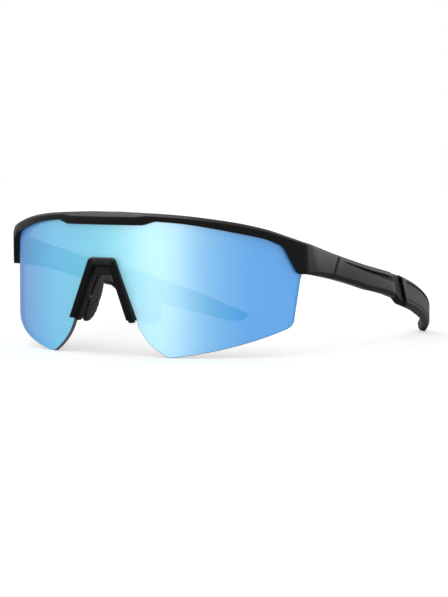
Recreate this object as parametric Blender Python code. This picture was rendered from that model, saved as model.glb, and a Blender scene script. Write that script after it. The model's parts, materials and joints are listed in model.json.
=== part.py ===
"""Wraparound sport sunglasses: a one-piece shield lens hung from a brow frame.

Every separate piece is one object. Lengths are written in millimetres in a layout frame (x = 0 on the
symmetry plane, y = 0 near the nose piece's front, z = 0 on the table) and turned into metres when
a piece is made. "left" is the wearer's left, which is +X; the front looks along -Y.
"""
import math

import bmesh
import bpy
from mathutils import Vector

MM = 0.001
GAP = 0.3

# Shield lens: an upright cylinder's wall
LENS_RADIUS = 85.0
LENS_FRONT_Y = 1.5
LENS_CENTRE_Y = LENS_FRONT_Y + LENS_RADIUS
LENS_THICKNESS = 1.8
LENS_TOP_COVER = 1.9
LENS_SIDE_X = 66.9

# Brow frame
BROW_FRONT = 1.5
BROW_BACK = -3.8
BROW_TOP_SETBACK = 0.2
BROW_TOP_POINTS = ((7, 53.65), (14, 53.4), (26.5, 52.8), (36.3, 51.9), (49, 49.9), (57.5, 47.6),
                   (62.5, 45.3), (67.4, 42.7))
BROW_LOW_POINTS = ((21.9, 50.2), (30, 49.6), (38, 48.5), (50.5, 45.8), (57.5, 43.8), (62, 41.2))
PLATEAU_HALF_WIDTH = 17.4
PLATEAU_LOW = 48.75
PLATEAU_FACET = 51.7
FACET_DROP = 0.9
FOLD_Y = 39.2
FOLD_LEAN = -0.43

# Temples: curves along y, from the fold in the endpiece to the tip
TEMPLE_START_Y = 36.1
TEMPLE_END_Y = 169.0
TEMPLE_OUTER = (69.9, 69.2, 82.8, 44.4)
TEMPLE_TOP = (42.3, 29.6, 25.1, 2.2)
TEMPLE_LOW = (30.8, 25.8, 6.8, -1.6)
TEMPLE_THICKNESS = (5.0, 4.6, 4.2, 3.4)
SEAM_Y = 53.2
SEAM_LEAN = 0.48
GRIP_JOINT_Y = 95.7
GRIP_JOINT_LEAN = -0.38
GRIP_PANEL_Y = 104.4
GRIP_PANEL_LEAN = -0.51
TIP_Y = 166.4
TIP_LEAN = 0.9
COLLAR_DEPTH = 0.9
TONGUE_INSET = 2.6
TONGUE_HALF = (0.8, 2.2)
TONGUE_END_Y = 122.0

# Temple hinges
HINGE_X = 65.8
HINGE_Y = 53.0
BARREL_RADIUS = 1.5
BARREL_BORE = 1.0
BARREL_LEVELS = ((30.4, 31.9), (32.2, 34.0), (34.3, 35.8))
HINGE_SCREW_RADIUS = 0.7
HINGE_SCREW_LEVELS = (30.1, 36.1)
HINGE_HEAD_RADIUS = 1.2
HINGE_HEAD_HEIGHT = 0.8
LEAF_X = (64.9, 65.8)
FRONT_LEAF_Y = (43.9, 51.2)
FRONT_LEAF_Z = (30.4, 35.8)
REAR_LEAF_Y = (54.8, 62.0)
REAR_LEAF_Z = (30.9, 34.6)
FRONT_LEAF_SCREW = (46.6, 33.1)
REAR_LEAF_SCREW = (59.4, 32.6)
LEAF_SCREW_RADIUS = 0.5
LEAF_SCREW_HOLE = 0.8
LEAF_SCREW_END_X = 68.2
LEAF_HEAD_RADIUS = 1.1
LEAF_HEAD_X = (63.9, 64.6)

# Nose piece: an arch on slanted legs, seen from the front
LEG_SLOPE = -0.4087
LEG_FOOT_Z = 13.6
LEG_OUTER_X = 15.1
LEG_WIDTH = 3.7
ARCH_TOP = 36.6
ARCH_LOW = 33.3
BRACKET_FRONT_Y = -0.3
BRACKET_BAR = 0.95
BRACKET_WALL = 0.52
LENS_NOTCH_INSET = 0.8
SADDLE_Y = (0.95, 4.2)
SADDLE_WIDTH = 0.38
SADDLE_ARCH_LOW = 29.9
SADDLE_FOOT_Z = 12.5

# Nose pads: slabs in a slanted plane |x| = base + slope_y * y + slope_z * z
PAD_BASE = 14.7
PAD_SLOPE_Y = 0.22
PAD_SLOPE_Z = -0.27
PAD_THICKNESS = 2.2
PAD_OUTLINE = ((8.8, 11.9), (6.9, 14.4), (7.7, 18.6), (9.3, 24.5), (11.3, 28.5), (13.2, 30.9), (15.6, 30.4),
               (17.4, 27.6), (18.2, 23.6), (17.9, 19.0), (16.9, 15.2), (14.6, 12.4), (11.6, 11.5))
PAD_WIRE_RADIUS = 0.45
PAD_WIRE_Z = 21.2
PAD_WIRE_START_Y = 4.9
PAD_WIRE_END_Y = 14.6
PAD_BOSS_RADIUS = 1.0
PAD_BOSS_END_Y = 5.6
PAD_AXIS_Y = 5.4

# The finished part's origin is under the middle of its box
REARMOST_Y = 167.48
SHIFT_Y = -(BRACKET_FRONT_Y + REARMOST_Y) / 2

STATIONS_ARC = 5


# ---------------------------------------------------------------- shapes and curves

def bezier(a, b, c, d, t):
    """The value at t of a cubic curve through a and d, pulled towards b and c."""
    s = 1 - t
    return s * s * s * a + 3 * s * s * t * b + 3 * s * t * t * c + t * t * t * d


def curve_points(a, b, c, d, count):
    """Points on a plane cubic curve after its first point, ending on d."""
    return [tuple(bezier(a[k], b[k], c[k], d[k], i / count) for k in (0, 1)) for i in range(1, count + 1)]


def smooth_between(points, x):
    """A smooth curve through a few (x, value) points, read at x."""
    if x <= points[0][0]:
        return points[0][1]
    if x >= points[-1][0]:
        return points[-1][1]
    slopes = []
    for i in range(len(points)):
        before = points[max(i - 1, 0)]
        after = points[min(i + 1, len(points) - 1)]
        slopes.append((after[1] - before[1]) / (after[0] - before[0]))
    for i in range(len(points) - 1):
        (x0, v0), (x1, v1) = points[i], points[i + 1]
        if x <= x1:
            span = x1 - x0
            t = (x - x0) / span
            return bezier(v0, v0 + slopes[i] * span / 3, v1 - slopes[i + 1] * span / 3, v1, t)


def blend(a, b, t):
    """From a at t = 0 to b at t = 1, held outside that range."""
    t = min(max(t, 0), 1)
    return a + (b - a) * t


def lens_point(x, offset, z):
    """The point `offset` mm outside the lens' front face, on the normal through x."""
    angle = math.asin(x / LENS_RADIUS)
    radius = LENS_RADIUS + offset
    return (radius * math.sin(angle), LENS_CENTRE_Y - radius * math.cos(angle), z)


def temple_t(y):
    return (y - TEMPLE_START_Y) / (TEMPLE_END_Y - TEMPLE_START_Y)


def temple_outer(y):
    return bezier(*TEMPLE_OUTER, temple_t(y))


def temple_lift(y):
    """The grip's front half stands a little above the temple's plain curve."""
    return 0.9 * blend(0, 1, (y - 75) / 25) * blend(1, 0, (y - 148) / 14)


def temple_top(y):
    return bezier(*TEMPLE_TOP, temple_t(y)) + temple_lift(y)


def temple_low(y):
    """The underside: a little fuller at the end of the arm, and dropping to a lip on the grip."""
    low = bezier(*TEMPLE_LOW, temple_t(y)) + temple_lift(y)
    fuller = 0.6 * blend(0, 1, (y - 78) / 12) * blend(1, 0, (y - 99) / 4)
    lip = 0.8 * blend(0, 1, (y - 99) / 4) * blend(1, 0, (y - 104) / 14)
    return max(low + fuller - lip, 0.0)


def temple_thickness(y):
    return bezier(*TEMPLE_THICKNESS, temple_t(y))


# ---------------------------------------------------------------- meshes and objects

def clear_scene():
    for obj in list(bpy.data.objects):
        bpy.data.objects.remove(obj, do_unlink=True)


def make_material(name, colour, roughness, metallic=0.0, alpha=1.0):
    material = bpy.data.materials.new(name)
    material.use_nodes = True
    shader = material.node_tree.nodes["Principled BSDF"]
    shader.inputs["Base Color"].default_value = (*colour, 1.0)
    shader.inputs["Roughness"].default_value = roughness
    shader.inputs["Metallic"].default_value = metallic
    shader.inputs["Alpha"].default_value = alpha
    material.diffuse_color = (*colour, alpha)
    return material


def to_world(point):
    """A layout point in mm as a world point in metres."""
    return Vector((point[0], point[1] + SHIFT_Y, point[2])) * MM


def make_object(name, verts, faces, origin, material=None, smooth=True):
    """A closed mesh from layout points, with its own origin."""
    place = to_world(origin)
    mesh = bpy.data.meshes.new(name)
    mesh.from_pydata([to_world(v) - place for v in verts], [], faces)
    work = bmesh.new()
    work.from_mesh(mesh)
    bmesh.ops.triangulate(work, faces=[f for f in work.faces if len(f.verts) > 3])
    bmesh.ops.recalc_face_normals(work, faces=work.faces)
    work.to_mesh(mesh)
    work.free()
    if smooth:
        mesh.shade_smooth()
        mesh.set_sharp_from_angle(angle=math.radians(30))
    obj = bpy.data.objects.new(name, mesh)
    obj.location = place
    bpy.context.collection.objects.link(obj)
    if material:
        mesh.materials.append(material)
    return obj


def loft(rings):
    """Vertices and faces of a skin over rings of equal length, closed at both ends."""
    count = len(rings[0])
    verts = [p for ring in rings for p in ring]
    faces = []
    for i in range(len(rings) - 1):
        for j in range(count):
            k = (j + 1) % count
            faces.append((i * count + j, i * count + k, (i + 1) * count + k, (i + 1) * count + j))
    faces.append(tuple(range(count)))
    faces.append(tuple(range((len(rings) - 1) * count, len(rings) * count)))
    return verts, faces


def mirrored(rings):
    """The same rings on the other side of the symmetry plane, in the opposite order."""
    return [[(-x, y, z) for x, y, z in ring] for ring in reversed(rings)]


def on_side(points, side):
    return [(x * side, y, z) for x, y, z in points]


def box(xs, ys, zs):
    verts = [(x, y, z) for x in xs for y in ys for z in zs]
    faces = [(0, 1, 3, 2), (4, 6, 7, 5), (0, 4, 5, 1), (2, 3, 7, 6), (0, 2, 6, 4), (1, 5, 7, 3)]
    return verts, faces


def turned(axis, start, profile, sides=16):
    """A round solid along x, y or z: profile is (distance from start, radius) pairs."""
    a, b = [k for k in range(3) if k != axis]
    rings = []
    for distance, radius in profile:
        ring = []
        for i in range(sides):
            angle = 2 * math.pi * (i + 0.5) / sides
            point = list(start)
            point[axis] += distance
            point[a] += radius * math.cos(angle)
            point[b] += radius * math.sin(angle)
            ring.append(tuple(point))
        rings.append(ring)
    return loft(rings)


def cut(obj, name, verts, faces, join=False):
    """Cut a tool out of an object, or join it on, with a kept Boolean modifier."""
    tool = make_object(name, verts, faces, (0, 0, 0), smooth=False)
    tool.hide_render = True
    tool.display_type = "WIRE"
    step = obj.modifiers.new(name, "BOOLEAN")
    step.operation = "UNION" if join else "DIFFERENCE"
    step.object = tool


# ---------------------------------------------------------------- lens

def nose_edge_x(z):
    """The outer edge of the nose piece's leg at height z."""
    return LEG_OUTER_X + LEG_SLOPE * (z - LEG_FOOT_Z)


def brow_top(x):
    return smooth_between(BROW_TOP_POINTS, x)


def lens_low_edge():
    """The lens' lower outline from the middle to the side, as (x, z)."""
    notch_top = ARCH_TOP - LENS_NOTCH_INSET
    notch_x = nose_edge_x(notch_top) - LENS_NOTCH_INSET
    edge = [(0, notch_top), (notch_x - 0.8, notch_top), (notch_x + 0.2, notch_top - 1.0), (14.5, 13.0)]
    edge += curve_points((14.5, 13.0), (16.3, 7.6), (20.5, 3.4), (26.6, 0.0), 7)
    edge += [(28.2, 0.0)]
    edge += curve_points((28.2, 0.0), (41.0, 1.6), (54.0, 5.2), (63.0, 10.5), 8)
    edge += curve_points((63.0, 10.5), (64.2, 11.2), (64.9, 12.2), (65.1, 13.8), 3)
    edge += [(65.8, 22.0), (66.6, 29.0), (LENS_SIDE_X, 30.4)]
    return edge


def lens_top_edge(x):
    """The hidden top edge, LENS_TOP_COVER under the brow's top, falling away inside the endpiece."""
    return brow_top(x) - LENS_TOP_COVER - blend(0, 9.0, (x - 60) / (LENS_SIDE_X - 60))


def outward(edge, distance):
    """The lower outline moved out of the lens by a distance."""
    moved = []
    for i, (x, z) in enumerate(edge):
        before = edge[max(i - 1, 0)]
        after = edge[min(i + 1, len(edge) - 1)]
        dx, dz = after[0] - before[0], after[1] - before[1]
        length = math.hypot(dx, dz)
        if x == 0:
            dx, dz, length = 1, 0, 1
        moved.append((x + distance * dz / length, z - distance * dx / length))
    return moved


def lens_rings(front=0.0, back=-LENS_THICKNESS, grow=0.0):
    rings = []
    edge = outward(lens_low_edge(), grow) if grow else lens_low_edge()
    for x, low in edge:
        reach = x + grow if x > 62 else x
        top = lens_top_edge(min(x, LENS_SIDE_X)) + grow
        rings.append([lens_point(reach, n, z) for n, z in ((front, low), (front, top), (back, top), (back, low))])
    return mirrored(rings)[:-1] + rings


def make_lens(material):
    return make_object("lens", *loft(lens_rings()), (0, LENS_FRONT_Y, 30), material)


# ---------------------------------------------------------------- brow frame

def brow_low(x):
    if x <= 21.9:
        return blend(PLATEAU_LOW, BROW_LOW_POINTS[0][1], (x - PLATEAU_HALF_WIDTH) / 4.5)
    if x <= 62:
        return smooth_between(BROW_LOW_POINTS, x)
    return max(blend(41.2, 30.9, (x - 62) / 3.6), 30.9)


def brow_facet(x):
    """Height of the crease between the front face and the sloped top facet."""
    return blend(PLATEAU_FACET, brow_top(x) - FACET_DROP, (x - 14.5) / 4.5)


def brow_ring(x):
    low, facet, top = brow_low(x), brow_facet(x), brow_top(x)
    section = ((BROW_FRONT - 0.4, low), (BROW_FRONT, low + 0.4), (BROW_FRONT + 0.1, facet), (BROW_TOP_SETBACK, top),
               (BROW_BACK + 1.0, top), (BROW_BACK, top - 0.9), (BROW_BACK, low + 0.5), (BROW_BACK + 0.5, low))
    return [lens_point(x, n, z) for n, z in section]


def fold_ring():
    """Where the endpiece's front facet turns to run back along the temple."""
    def y_at(z):
        return FOLD_Y + FOLD_LEAN * (z - 36.0)
    return [(69.1, y_at(30.2) - 0.4, 30.1), (69.9, y_at(31.4), 31.4), (69.9, y_at(41.0), 41.0), (68.9, 36.9, 41.9),
            (66.3, 38.9, 41.9), (65.3, 39.8, 41.0), (65.0, 42.2, 30.9), (65.7, 42.0, 30.1)]


def temple_ring(y, lean, recess=0.0):
    """One cross-section of endpiece or temple, leaning back by `lean` for each mm of height."""
    middle = (temple_top(y) + temple_low(y)) / 2

    def corner(across, from_top, height):
        """across: mm in from the outer face (from the inner face if negative)."""
        yy = y
        for _ in range(6):
            z = temple_top(yy) - height if from_top else temple_low(yy) + height
            yy = y + lean * (z - middle)
        x = temple_outer(yy) - recess - across if across >= 0 else temple_outer(yy) - temple_thickness(yy) - across
        return (x, yy, z)
    return [corner(0.8, False, 0), corner(0, False, 1.5), corner(0, True, 0.9), corner(1.0, True, 0),
            corner(-0.9, True, 0), corner(-1e-6, True, 0.8), corner(-1e-6, False, 0.8), corner(-0.7, False, 0)]


def make_brow(material, pocket_tools):
    xs = [0, 7, 14.5, PLATEAU_HALF_WIDTH, 19, 21.9, 27, 32, 37, 42, 46.5, 51, 54.5, 57.5, 60, 62,
          62.8, 63.6, 64.4, 65.2, 65.9, 67.4]
    rings = [brow_ring(x) for x in xs] + [fold_ring(), temple_ring(46.0, 0.1), temple_ring(SEAM_Y, SEAM_LEAN)]
    brow = make_object("brow_frame", *loft(mirrored(rings)[:-1] + rings), (0, LENS_FRONT_Y, 50), material)
    pocket = lens_rings(GAP, -LENS_THICKNESS - GAP, GAP)
    cut(brow, "cut_lens_groove", *loft(pocket))
    for side, label in ((1, "left"), (-1, "right")):
        for tool, shape in pocket_tools.items():
            cut(brow, f"cut_{tool}_{label}", on_side(shape[0], side), shape[1])
    return brow


# ---------------------------------------------------------------- temples

def tongue_ring(y, lean, grow=0.0):
    """The flat core that the arm pushes into the grip."""
    half_x, half_z = TONGUE_HALF[0] + grow, TONGUE_HALF[1] + grow
    middle = (temple_top(y) + temple_low(y)) / 2
    edge = 0.4
    corners = ((half_x - edge, -half_z), (half_x, -half_z + edge), (half_x, half_z - edge), (half_x - edge, half_z),
               (edge - half_x, half_z), (-half_x, half_z - edge), (-half_x, edge - half_z), (edge - half_x, -half_z))
    ring = []
    for across, up in corners:
        yy = y + lean * up
        ring.append((temple_outer(yy) - TONGUE_INSET + across, yy, middle + up))
    return ring


def make_arm(side, label, material, pocket_tools):
    end = GRIP_JOINT_Y
    rings = [temple_ring(SEAM_Y + GAP, SEAM_LEAN), temple_ring(59.0, 0.25), temple_ring(66.0, 0.1)]
    rings += [temple_ring(y, 0.0) for y in (73.0, 80.0)]
    rings += [temple_ring(87.5, -0.15), temple_ring(end, GRIP_JOINT_LEAN)]
    rings += [tongue_ring(end, GRIP_JOINT_LEAN), tongue_ring(104, -0.1), tongue_ring(113, 0)]
    rings += [tongue_ring(TONGUE_END_Y, 0)]
    verts, faces = loft(rings)
    arm = make_object(f"temple_arm_{label}", on_side(verts, side), faces, (HINGE_X * side, HINGE_Y, 33), material)
    for tool, shape in pocket_tools.items():
        cut(arm, f"cut_arm_{tool}_{label}", on_side(shape[0], side), shape[1])
    slot = []
    for y in (59.0, 66.0, 73.0, 80.0, 87.0, 93.5):
        high = temple_top(y) - 1.9
        low = high - blend(0.5, 1.6, (y - 59) / 30)
        outer = temple_outer(y)
        slot.append([(outer - 0.6, y, low), (outer + 1.0, y, low), (outer + 1.0, y, high), (outer - 0.6, y, high)])
    verts, faces = loft(slot)
    cut(arm, f"cut_arm_slot_{label}", on_side(verts, side), faces)
    return arm


def make_grip(side, label, material):
    """A rubber sleeve: pocket end, out to the mouth, over the lip and back along the outside to the tip."""
    mouth = GRIP_JOINT_Y + GAP
    rings = [tongue_ring(TONGUE_END_Y + GAP, 0, GAP), tongue_ring(113, 0, GAP), tongue_ring(104, -0.1, GAP)]
    rings += [tongue_ring(mouth, GRIP_JOINT_LEAN, GAP), temple_ring(mouth, GRIP_JOINT_LEAN, COLLAR_DEPTH)]
    rings += [temple_ring(99.5, -0.45, COLLAR_DEPTH), temple_ring(GRIP_PANEL_Y, GRIP_PANEL_LEAN, COLLAR_DEPTH)]
    rings += [temple_ring(GRIP_PANEL_Y + 0.3, GRIP_PANEL_LEAN), temple_ring(112, -0.2)]
    rings += [temple_ring(y, 0.0) for y in (119, 126, 133, 139.5)]
    rings += [temple_ring(145.5, 0.1), temple_ring(151.5, 0.25), temple_ring(157.0, 0.45)]
    rings += [temple_ring(162.0, 0.7), temple_ring(TIP_Y, TIP_LEAN)]
    verts, faces = loft(rings)
    return make_object(f"temple_grip_{label}", on_side(verts, side), faces, (HINGE_X * side, HINGE_Y, 33), material)


# ---------------------------------------------------------------- hinges

def hinge_pockets():
    """Room for the hinge, cut in both the endpiece and the arm."""
    reach = BARREL_RADIUS + GAP
    knuckle = box((62.0, HINGE_X + reach), (HINGE_Y - reach, HINGE_Y + reach), (29.8, 37.2))
    front = box((62.0, LEAF_X[1] + GAP), (FRONT_LEAF_Y[0] - GAP, HINGE_Y), (FRONT_LEAF_Z[0] - GAP, FRONT_LEAF_Z[1] + GAP))
    rear = box((62.0, LEAF_X[1] + GAP), (HINGE_Y, REAR_LEAF_Y[1] + GAP), (REAR_LEAF_Z[0] - GAP, REAR_LEAF_Z[1] + GAP))
    bores = []
    for y, z in (FRONT_LEAF_SCREW, REAR_LEAF_SCREW):
        bores.append(turned(0, (LEAF_X[1], y, z), ((0, LEAF_SCREW_HOLE), (LEAF_SCREW_END_X - LEAF_X[1] + GAP, LEAF_SCREW_HOLE)), 12))
    in_frame = {"knuckle_pocket": knuckle, "leaf_recess": front, "screw_bore": bores[0]}
    in_arm = {"knuckle_pocket": knuckle, "leaf_recess": rear, "screw_bore": bores[1]}
    return in_frame, in_arm


def make_leaf(name, side, barrels, plate_y, plate_z, screw_at, material):
    """A plate with its barrels rolled round the hinge axis."""
    verts, faces = box(LEAF_X, plate_y, plate_z)
    leaf = make_object(name, on_side(verts, side), faces, (HINGE_X * side, HINGE_Y, 33), material)
    near, far = sorted(plate_y, key=lambda y: abs(y - HINGE_Y))
    for i, (low, high) in enumerate(barrels):
        inward = near + math.copysign(0.5, far - near)
        tab = box(LEAF_X, sorted((inward, HINGE_Y)), (low, high))
        barrel = turned(2, (HINGE_X, HINGE_Y, low), ((0, BARREL_RADIUS), (high - low, BARREL_RADIUS)))
        for part, shape in (("tab", tab), ("barrel", barrel)):
            cut(leaf, f"join_{name}_{part}_{i}", on_side(shape[0], side), shape[1], join=True)
    bore = turned(2, (HINGE_X, HINGE_Y, 29), ((0, BARREL_BORE), (9, BARREL_BORE)))
    hole = turned(0, (LEAF_X[0] - 1, *screw_at), ((0, LEAF_SCREW_HOLE), (3, LEAF_SCREW_HOLE)), 12)
    for part, shape in (("bore", bore), ("hole", hole)):
        cut(leaf, f"cut_{name}_{part}", on_side(shape[0], side), shape[1])
    return leaf


def make_hinge_screw(side, label, material):
    low, high = HINGE_SCREW_LEVELS
    profile = ((0, HINGE_SCREW_RADIUS), (high - low, HINGE_SCREW_RADIUS), (high - low, HINGE_HEAD_RADIUS),
               (high - low + HINGE_HEAD_HEIGHT, HINGE_HEAD_RADIUS))
    verts, faces = turned(2, (HINGE_X, HINGE_Y, low), profile)
    screw = make_object(f"hinge_screw_{label}", on_side(verts, side), faces, (HINGE_X * side, HINGE_Y, low), material)
    slot = box((HINGE_X - 2, HINGE_X + 2), (HINGE_Y - 0.15, HINGE_Y + 0.15), (high + HINGE_HEAD_HEIGHT - 0.35, high + 2))
    cut(screw, f"cut_screw_slot_{label}", on_side(slot[0], side), slot[1])


def make_leaf_screw(name, side, at, material):
    head = LEAF_HEAD_X[1] - LEAF_HEAD_X[0]
    profile = ((0, LEAF_HEAD_RADIUS - 0.25), (0.25, LEAF_HEAD_RADIUS), (head, LEAF_HEAD_RADIUS),
               (head, LEAF_SCREW_RADIUS), (LEAF_SCREW_END_X - LEAF_HEAD_X[0], LEAF_SCREW_RADIUS))
    verts, faces = turned(0, (LEAF_HEAD_X[0], *at), profile, 12)
    screw = make_object(name, on_side(verts, side), faces, (LEAF_HEAD_X[0] * side, *at), material)
    slot = box((LEAF_HEAD_X[0] - 1, LEAF_HEAD_X[0] + 0.3), (at[0] - 0.15, at[0] + 0.15), (at[1] - 2, at[1] + 2))
    cut(screw, f"cut_{name}_slot", on_side(slot[0], side), slot[1])


# ---------------------------------------------------------------- nose piece

def arch_path(inset, foot_z, top_z, corner):
    """Half of an arch with slanted legs: foot, leg, rounded corner, middle, as (x, z)."""
    def leg_x(z):
        return nose_edge_x(z) - inset
    lean = math.atan(-LEG_SLOPE)
    reach = corner * math.tan((math.pi / 2 - lean) / 2)
    corner_x = leg_x(top_z)
    centre = (corner_x - reach, top_z - corner)
    path = [(leg_x(foot_z), foot_z), (leg_x(foot_z + 7), foot_z + 7), (leg_x(foot_z + 13), foot_z + 13)]
    for i in range(STATIONS_ARC):
        angle = blend(lean, math.pi / 2, i / (STATIONS_ARC - 1))
        path.append((centre[0] + corner * math.cos(angle), centre[1] + corner * math.sin(angle)))
    path.append((0, top_z))
    return path


def arch_rings(outer, inner, section):
    """Rings along the arch: section gives (share of the way from inner to outer, y) at a station."""
    rings = []
    for i, ((xo, zo), (xi, zi)) in enumerate(zip(outer, inner)):
        rings.append([(xi + (xo - xi) * w, y, zi + (zo - zi) * w) for w, y in section(i, xo)])
    return rings + mirrored(rings)[1:]


def lens_back_y(x):
    return lens_point(x, -LENS_THICKNESS, 0)[1]


def make_bracket(material):
    outer = arch_path(0, LEG_FOOT_Z, ARCH_TOP, 2.0)
    inner = arch_path(LEG_WIDTH, LEG_FOOT_Z - 0.2, ARCH_LOW, 2.2)
    last = len(outer) - 1

    def section(i, x):
        tilt = 0.6 * blend(0, 1, (i - 3) / (last - 4))
        rear = lens_back_y(x) + 1.4
        front = BRACKET_FRONT_Y
        bar = BRACKET_FRONT_Y + BRACKET_BAR
        return ((0.16, front), (0.9, front + tilt), (1.0, front + tilt + 0.35), (1.0, rear), (BRACKET_WALL, rear),
                (BRACKET_WALL, bar), (0.0, bar), (0.0, front + 0.5))
    bracket = make_object("nose_bracket", *loft(arch_rings(outer, inner, section)), (0, 0, ARCH_LOW), material)
    cut(bracket, "cut_bracket_groove", *loft(lens_rings(GAP, -LENS_THICKNESS - GAP, GAP)))


def pad_x(y, z):
    return PAD_BASE + PAD_SLOPE_Y * y + PAD_SLOPE_Z * z


def make_saddle(material):
    outer = arch_path(LEG_WIDTH * (1 - SADDLE_WIDTH), SADDLE_FOOT_Z, ARCH_LOW + 1.0, 2.0)
    inner = arch_path(LEG_WIDTH + 0.05, SADDLE_FOOT_Z, SADDLE_ARCH_LOW, 1.6)
    front, back = SADDLE_Y

    def section(i, x):
        return ((0.0, front + 0.4), (0.2, front), (0.9, front), (1.0, front + 0.2),
                (1.0, back - 0.2), (0.9, back), (0.25, back), (0.0, back - 0.5))
    saddle = make_object("nose_saddle", *loft(arch_rings(outer, inner, section)), (0, 2.5, ARCH_LOW), material)
    for side, label in ((1, "left"), (-1, "right")):
        x = wire_x()
        boss = turned(1, (x, back - 1.0, PAD_WIRE_Z), ((0, PAD_BOSS_RADIUS), (PAD_BOSS_END_Y - back + 1, PAD_BOSS_RADIUS)), 14)
        mouth = turned(1, (x, PAD_WIRE_START_Y - GAP, PAD_WIRE_Z), ((0, PAD_WIRE_RADIUS + GAP), (3, PAD_WIRE_RADIUS + GAP)), 12)
        cut(saddle, f"join_boss_{label}", on_side(boss[0], side), boss[1], join=True)
        cut(saddle, f"cut_boss_{label}", on_side(mouth[0], side), mouth[1])


def wire_x():
    """The wire leaves the saddle in the middle of its leg's width."""
    return nose_edge_x(PAD_WIRE_Z) - LEG_WIDTH * (1 - SADDLE_WIDTH / 2)


def wire_path():
    """From the saddle's boss back into the middle of the pad."""
    end = (pad_x(PAD_WIRE_END_Y, PAD_WIRE_Z) + PAD_THICKNESS / 2, PAD_WIRE_END_Y, PAD_WIRE_Z)
    middle = (pad_x(9.5, PAD_WIRE_Z) + PAD_THICKNESS / 2, 9.5, PAD_WIRE_Z)
    start = (wire_x(), PAD_WIRE_START_Y, PAD_WIRE_Z)
    return [start, (wire_x() + 0.1, 6.0, PAD_WIRE_Z), middle, end]


def tube(path, radius, sides=10):
    rings = []
    for i, point in enumerate(path):
        before, after = Vector(path[max(i - 1, 0)]), Vector(path[min(i + 1, len(path) - 1)])
        along = (after - before).normalized()
        across = along.cross(Vector((0, 0, 1))).normalized()
        up = across.cross(along)
        turn = [2 * math.pi * k / sides for k in range(sides)]
        rings.append([tuple(Vector(point) + radius * (math.cos(a) * across + math.sin(a) * up)) for a in turn])
    return loft(rings)


def make_pad(side, label, rubber, wire):
    """A leaf-shaped slab with bevelled edges, moulded over its wire."""
    centre_y = sum(y for y, z in PAD_OUTLINE) / len(PAD_OUTLINE)
    centre_z = sum(z for y, z in PAD_OUTLINE) / len(PAD_OUTLINE)
    rings = []
    for depth, shrink in ((0.0, 0.86), (0.6, 1.0), (PAD_THICKNESS - 0.6, 1.0), (PAD_THICKNESS, 0.84)):
        ring = []
        for y, z in PAD_OUTLINE:
            yy = centre_y + (y - centre_y) * shrink
            zz = centre_z + (z - centre_z) * shrink
            ring.append((pad_x(yy, zz) + depth, yy, zz))
        rings.append(ring)
    verts, faces = loft(rings)
    origin = ((wire_x()) * side, PAD_AXIS_Y, PAD_WIRE_Z)
    pad = make_object(f"nose_pad_{label}", on_side(verts, side), faces, origin, rubber)
    path = wire_path()
    sleeve = tube([path[1], path[2], (path[3][0] + 0.05, path[3][1] + GAP, path[3][2])], PAD_WIRE_RADIUS + GAP)
    cut(pad, f"cut_wire_sleeve_{label}", on_side(sleeve[0], side), sleeve[1])
    verts, faces = tube(path, PAD_WIRE_RADIUS)
    make_object(f"nose_pad_wire_{label}", on_side(verts, side), faces, origin, wire)


# ---------------------------------------------------------------- the whole part

def main():
    clear_scene()
    plastic = make_material("matte_black_plastic", (0.022, 0.022, 0.024), 0.42)
    clip_plastic = make_material("nose_clip_plastic", (0.014, 0.014, 0.015), 0.35)
    rubber = make_material("soft_black_rubber", (0.035, 0.033, 0.035), 0.7)
    mirror = make_material("blue_mirror_lens", (0.16, 0.52, 0.9), 0.06, 0.35, 0.8)
    steel = make_material("hinge_steel", (0.55, 0.55, 0.57), 0.3, 1.0)

    in_frame, in_arm = hinge_pockets()
    make_brow(plastic, in_frame)
    make_lens(mirror)
    make_bracket(clip_plastic)
    make_saddle(rubber)
    for side, label in ((1, "left"), (-1, "right")):
        make_pad(side, label, rubber, steel)
        make_arm(side, label, plastic, in_arm)
        make_grip(side, label, rubber)
        make_leaf(f"hinge_front_leaf_{label}", side, (BARREL_LEVELS[0], BARREL_LEVELS[2]), FRONT_LEAF_Y, FRONT_LEAF_Z,
                  FRONT_LEAF_SCREW, steel)
        make_leaf(f"hinge_temple_leaf_{label}", side, (BARREL_LEVELS[1],), REAR_LEAF_Y, REAR_LEAF_Z,
                  REAR_LEAF_SCREW, steel)
        make_hinge_screw(side, label, steel)
        make_leaf_screw(f"front_leaf_screw_{label}", side, FRONT_LEAF_SCREW, steel)
        make_leaf_screw(f"temple_leaf_screw_{label}", side, REAR_LEAF_SCREW, steel)


main()
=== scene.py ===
"""The visible pieces of wraparound sport sunglasses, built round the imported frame.

Shapes are worked out in millimetres in a layout frame: x = 0 on the symmetry plane, y = 0 near the
nose piece's front, z = 0 on the table. "left" is the wearer's left, which is +X; the front looks
along -Y. Every mesh is written in metres in the frame's own place.
"""

import json
import math

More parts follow.
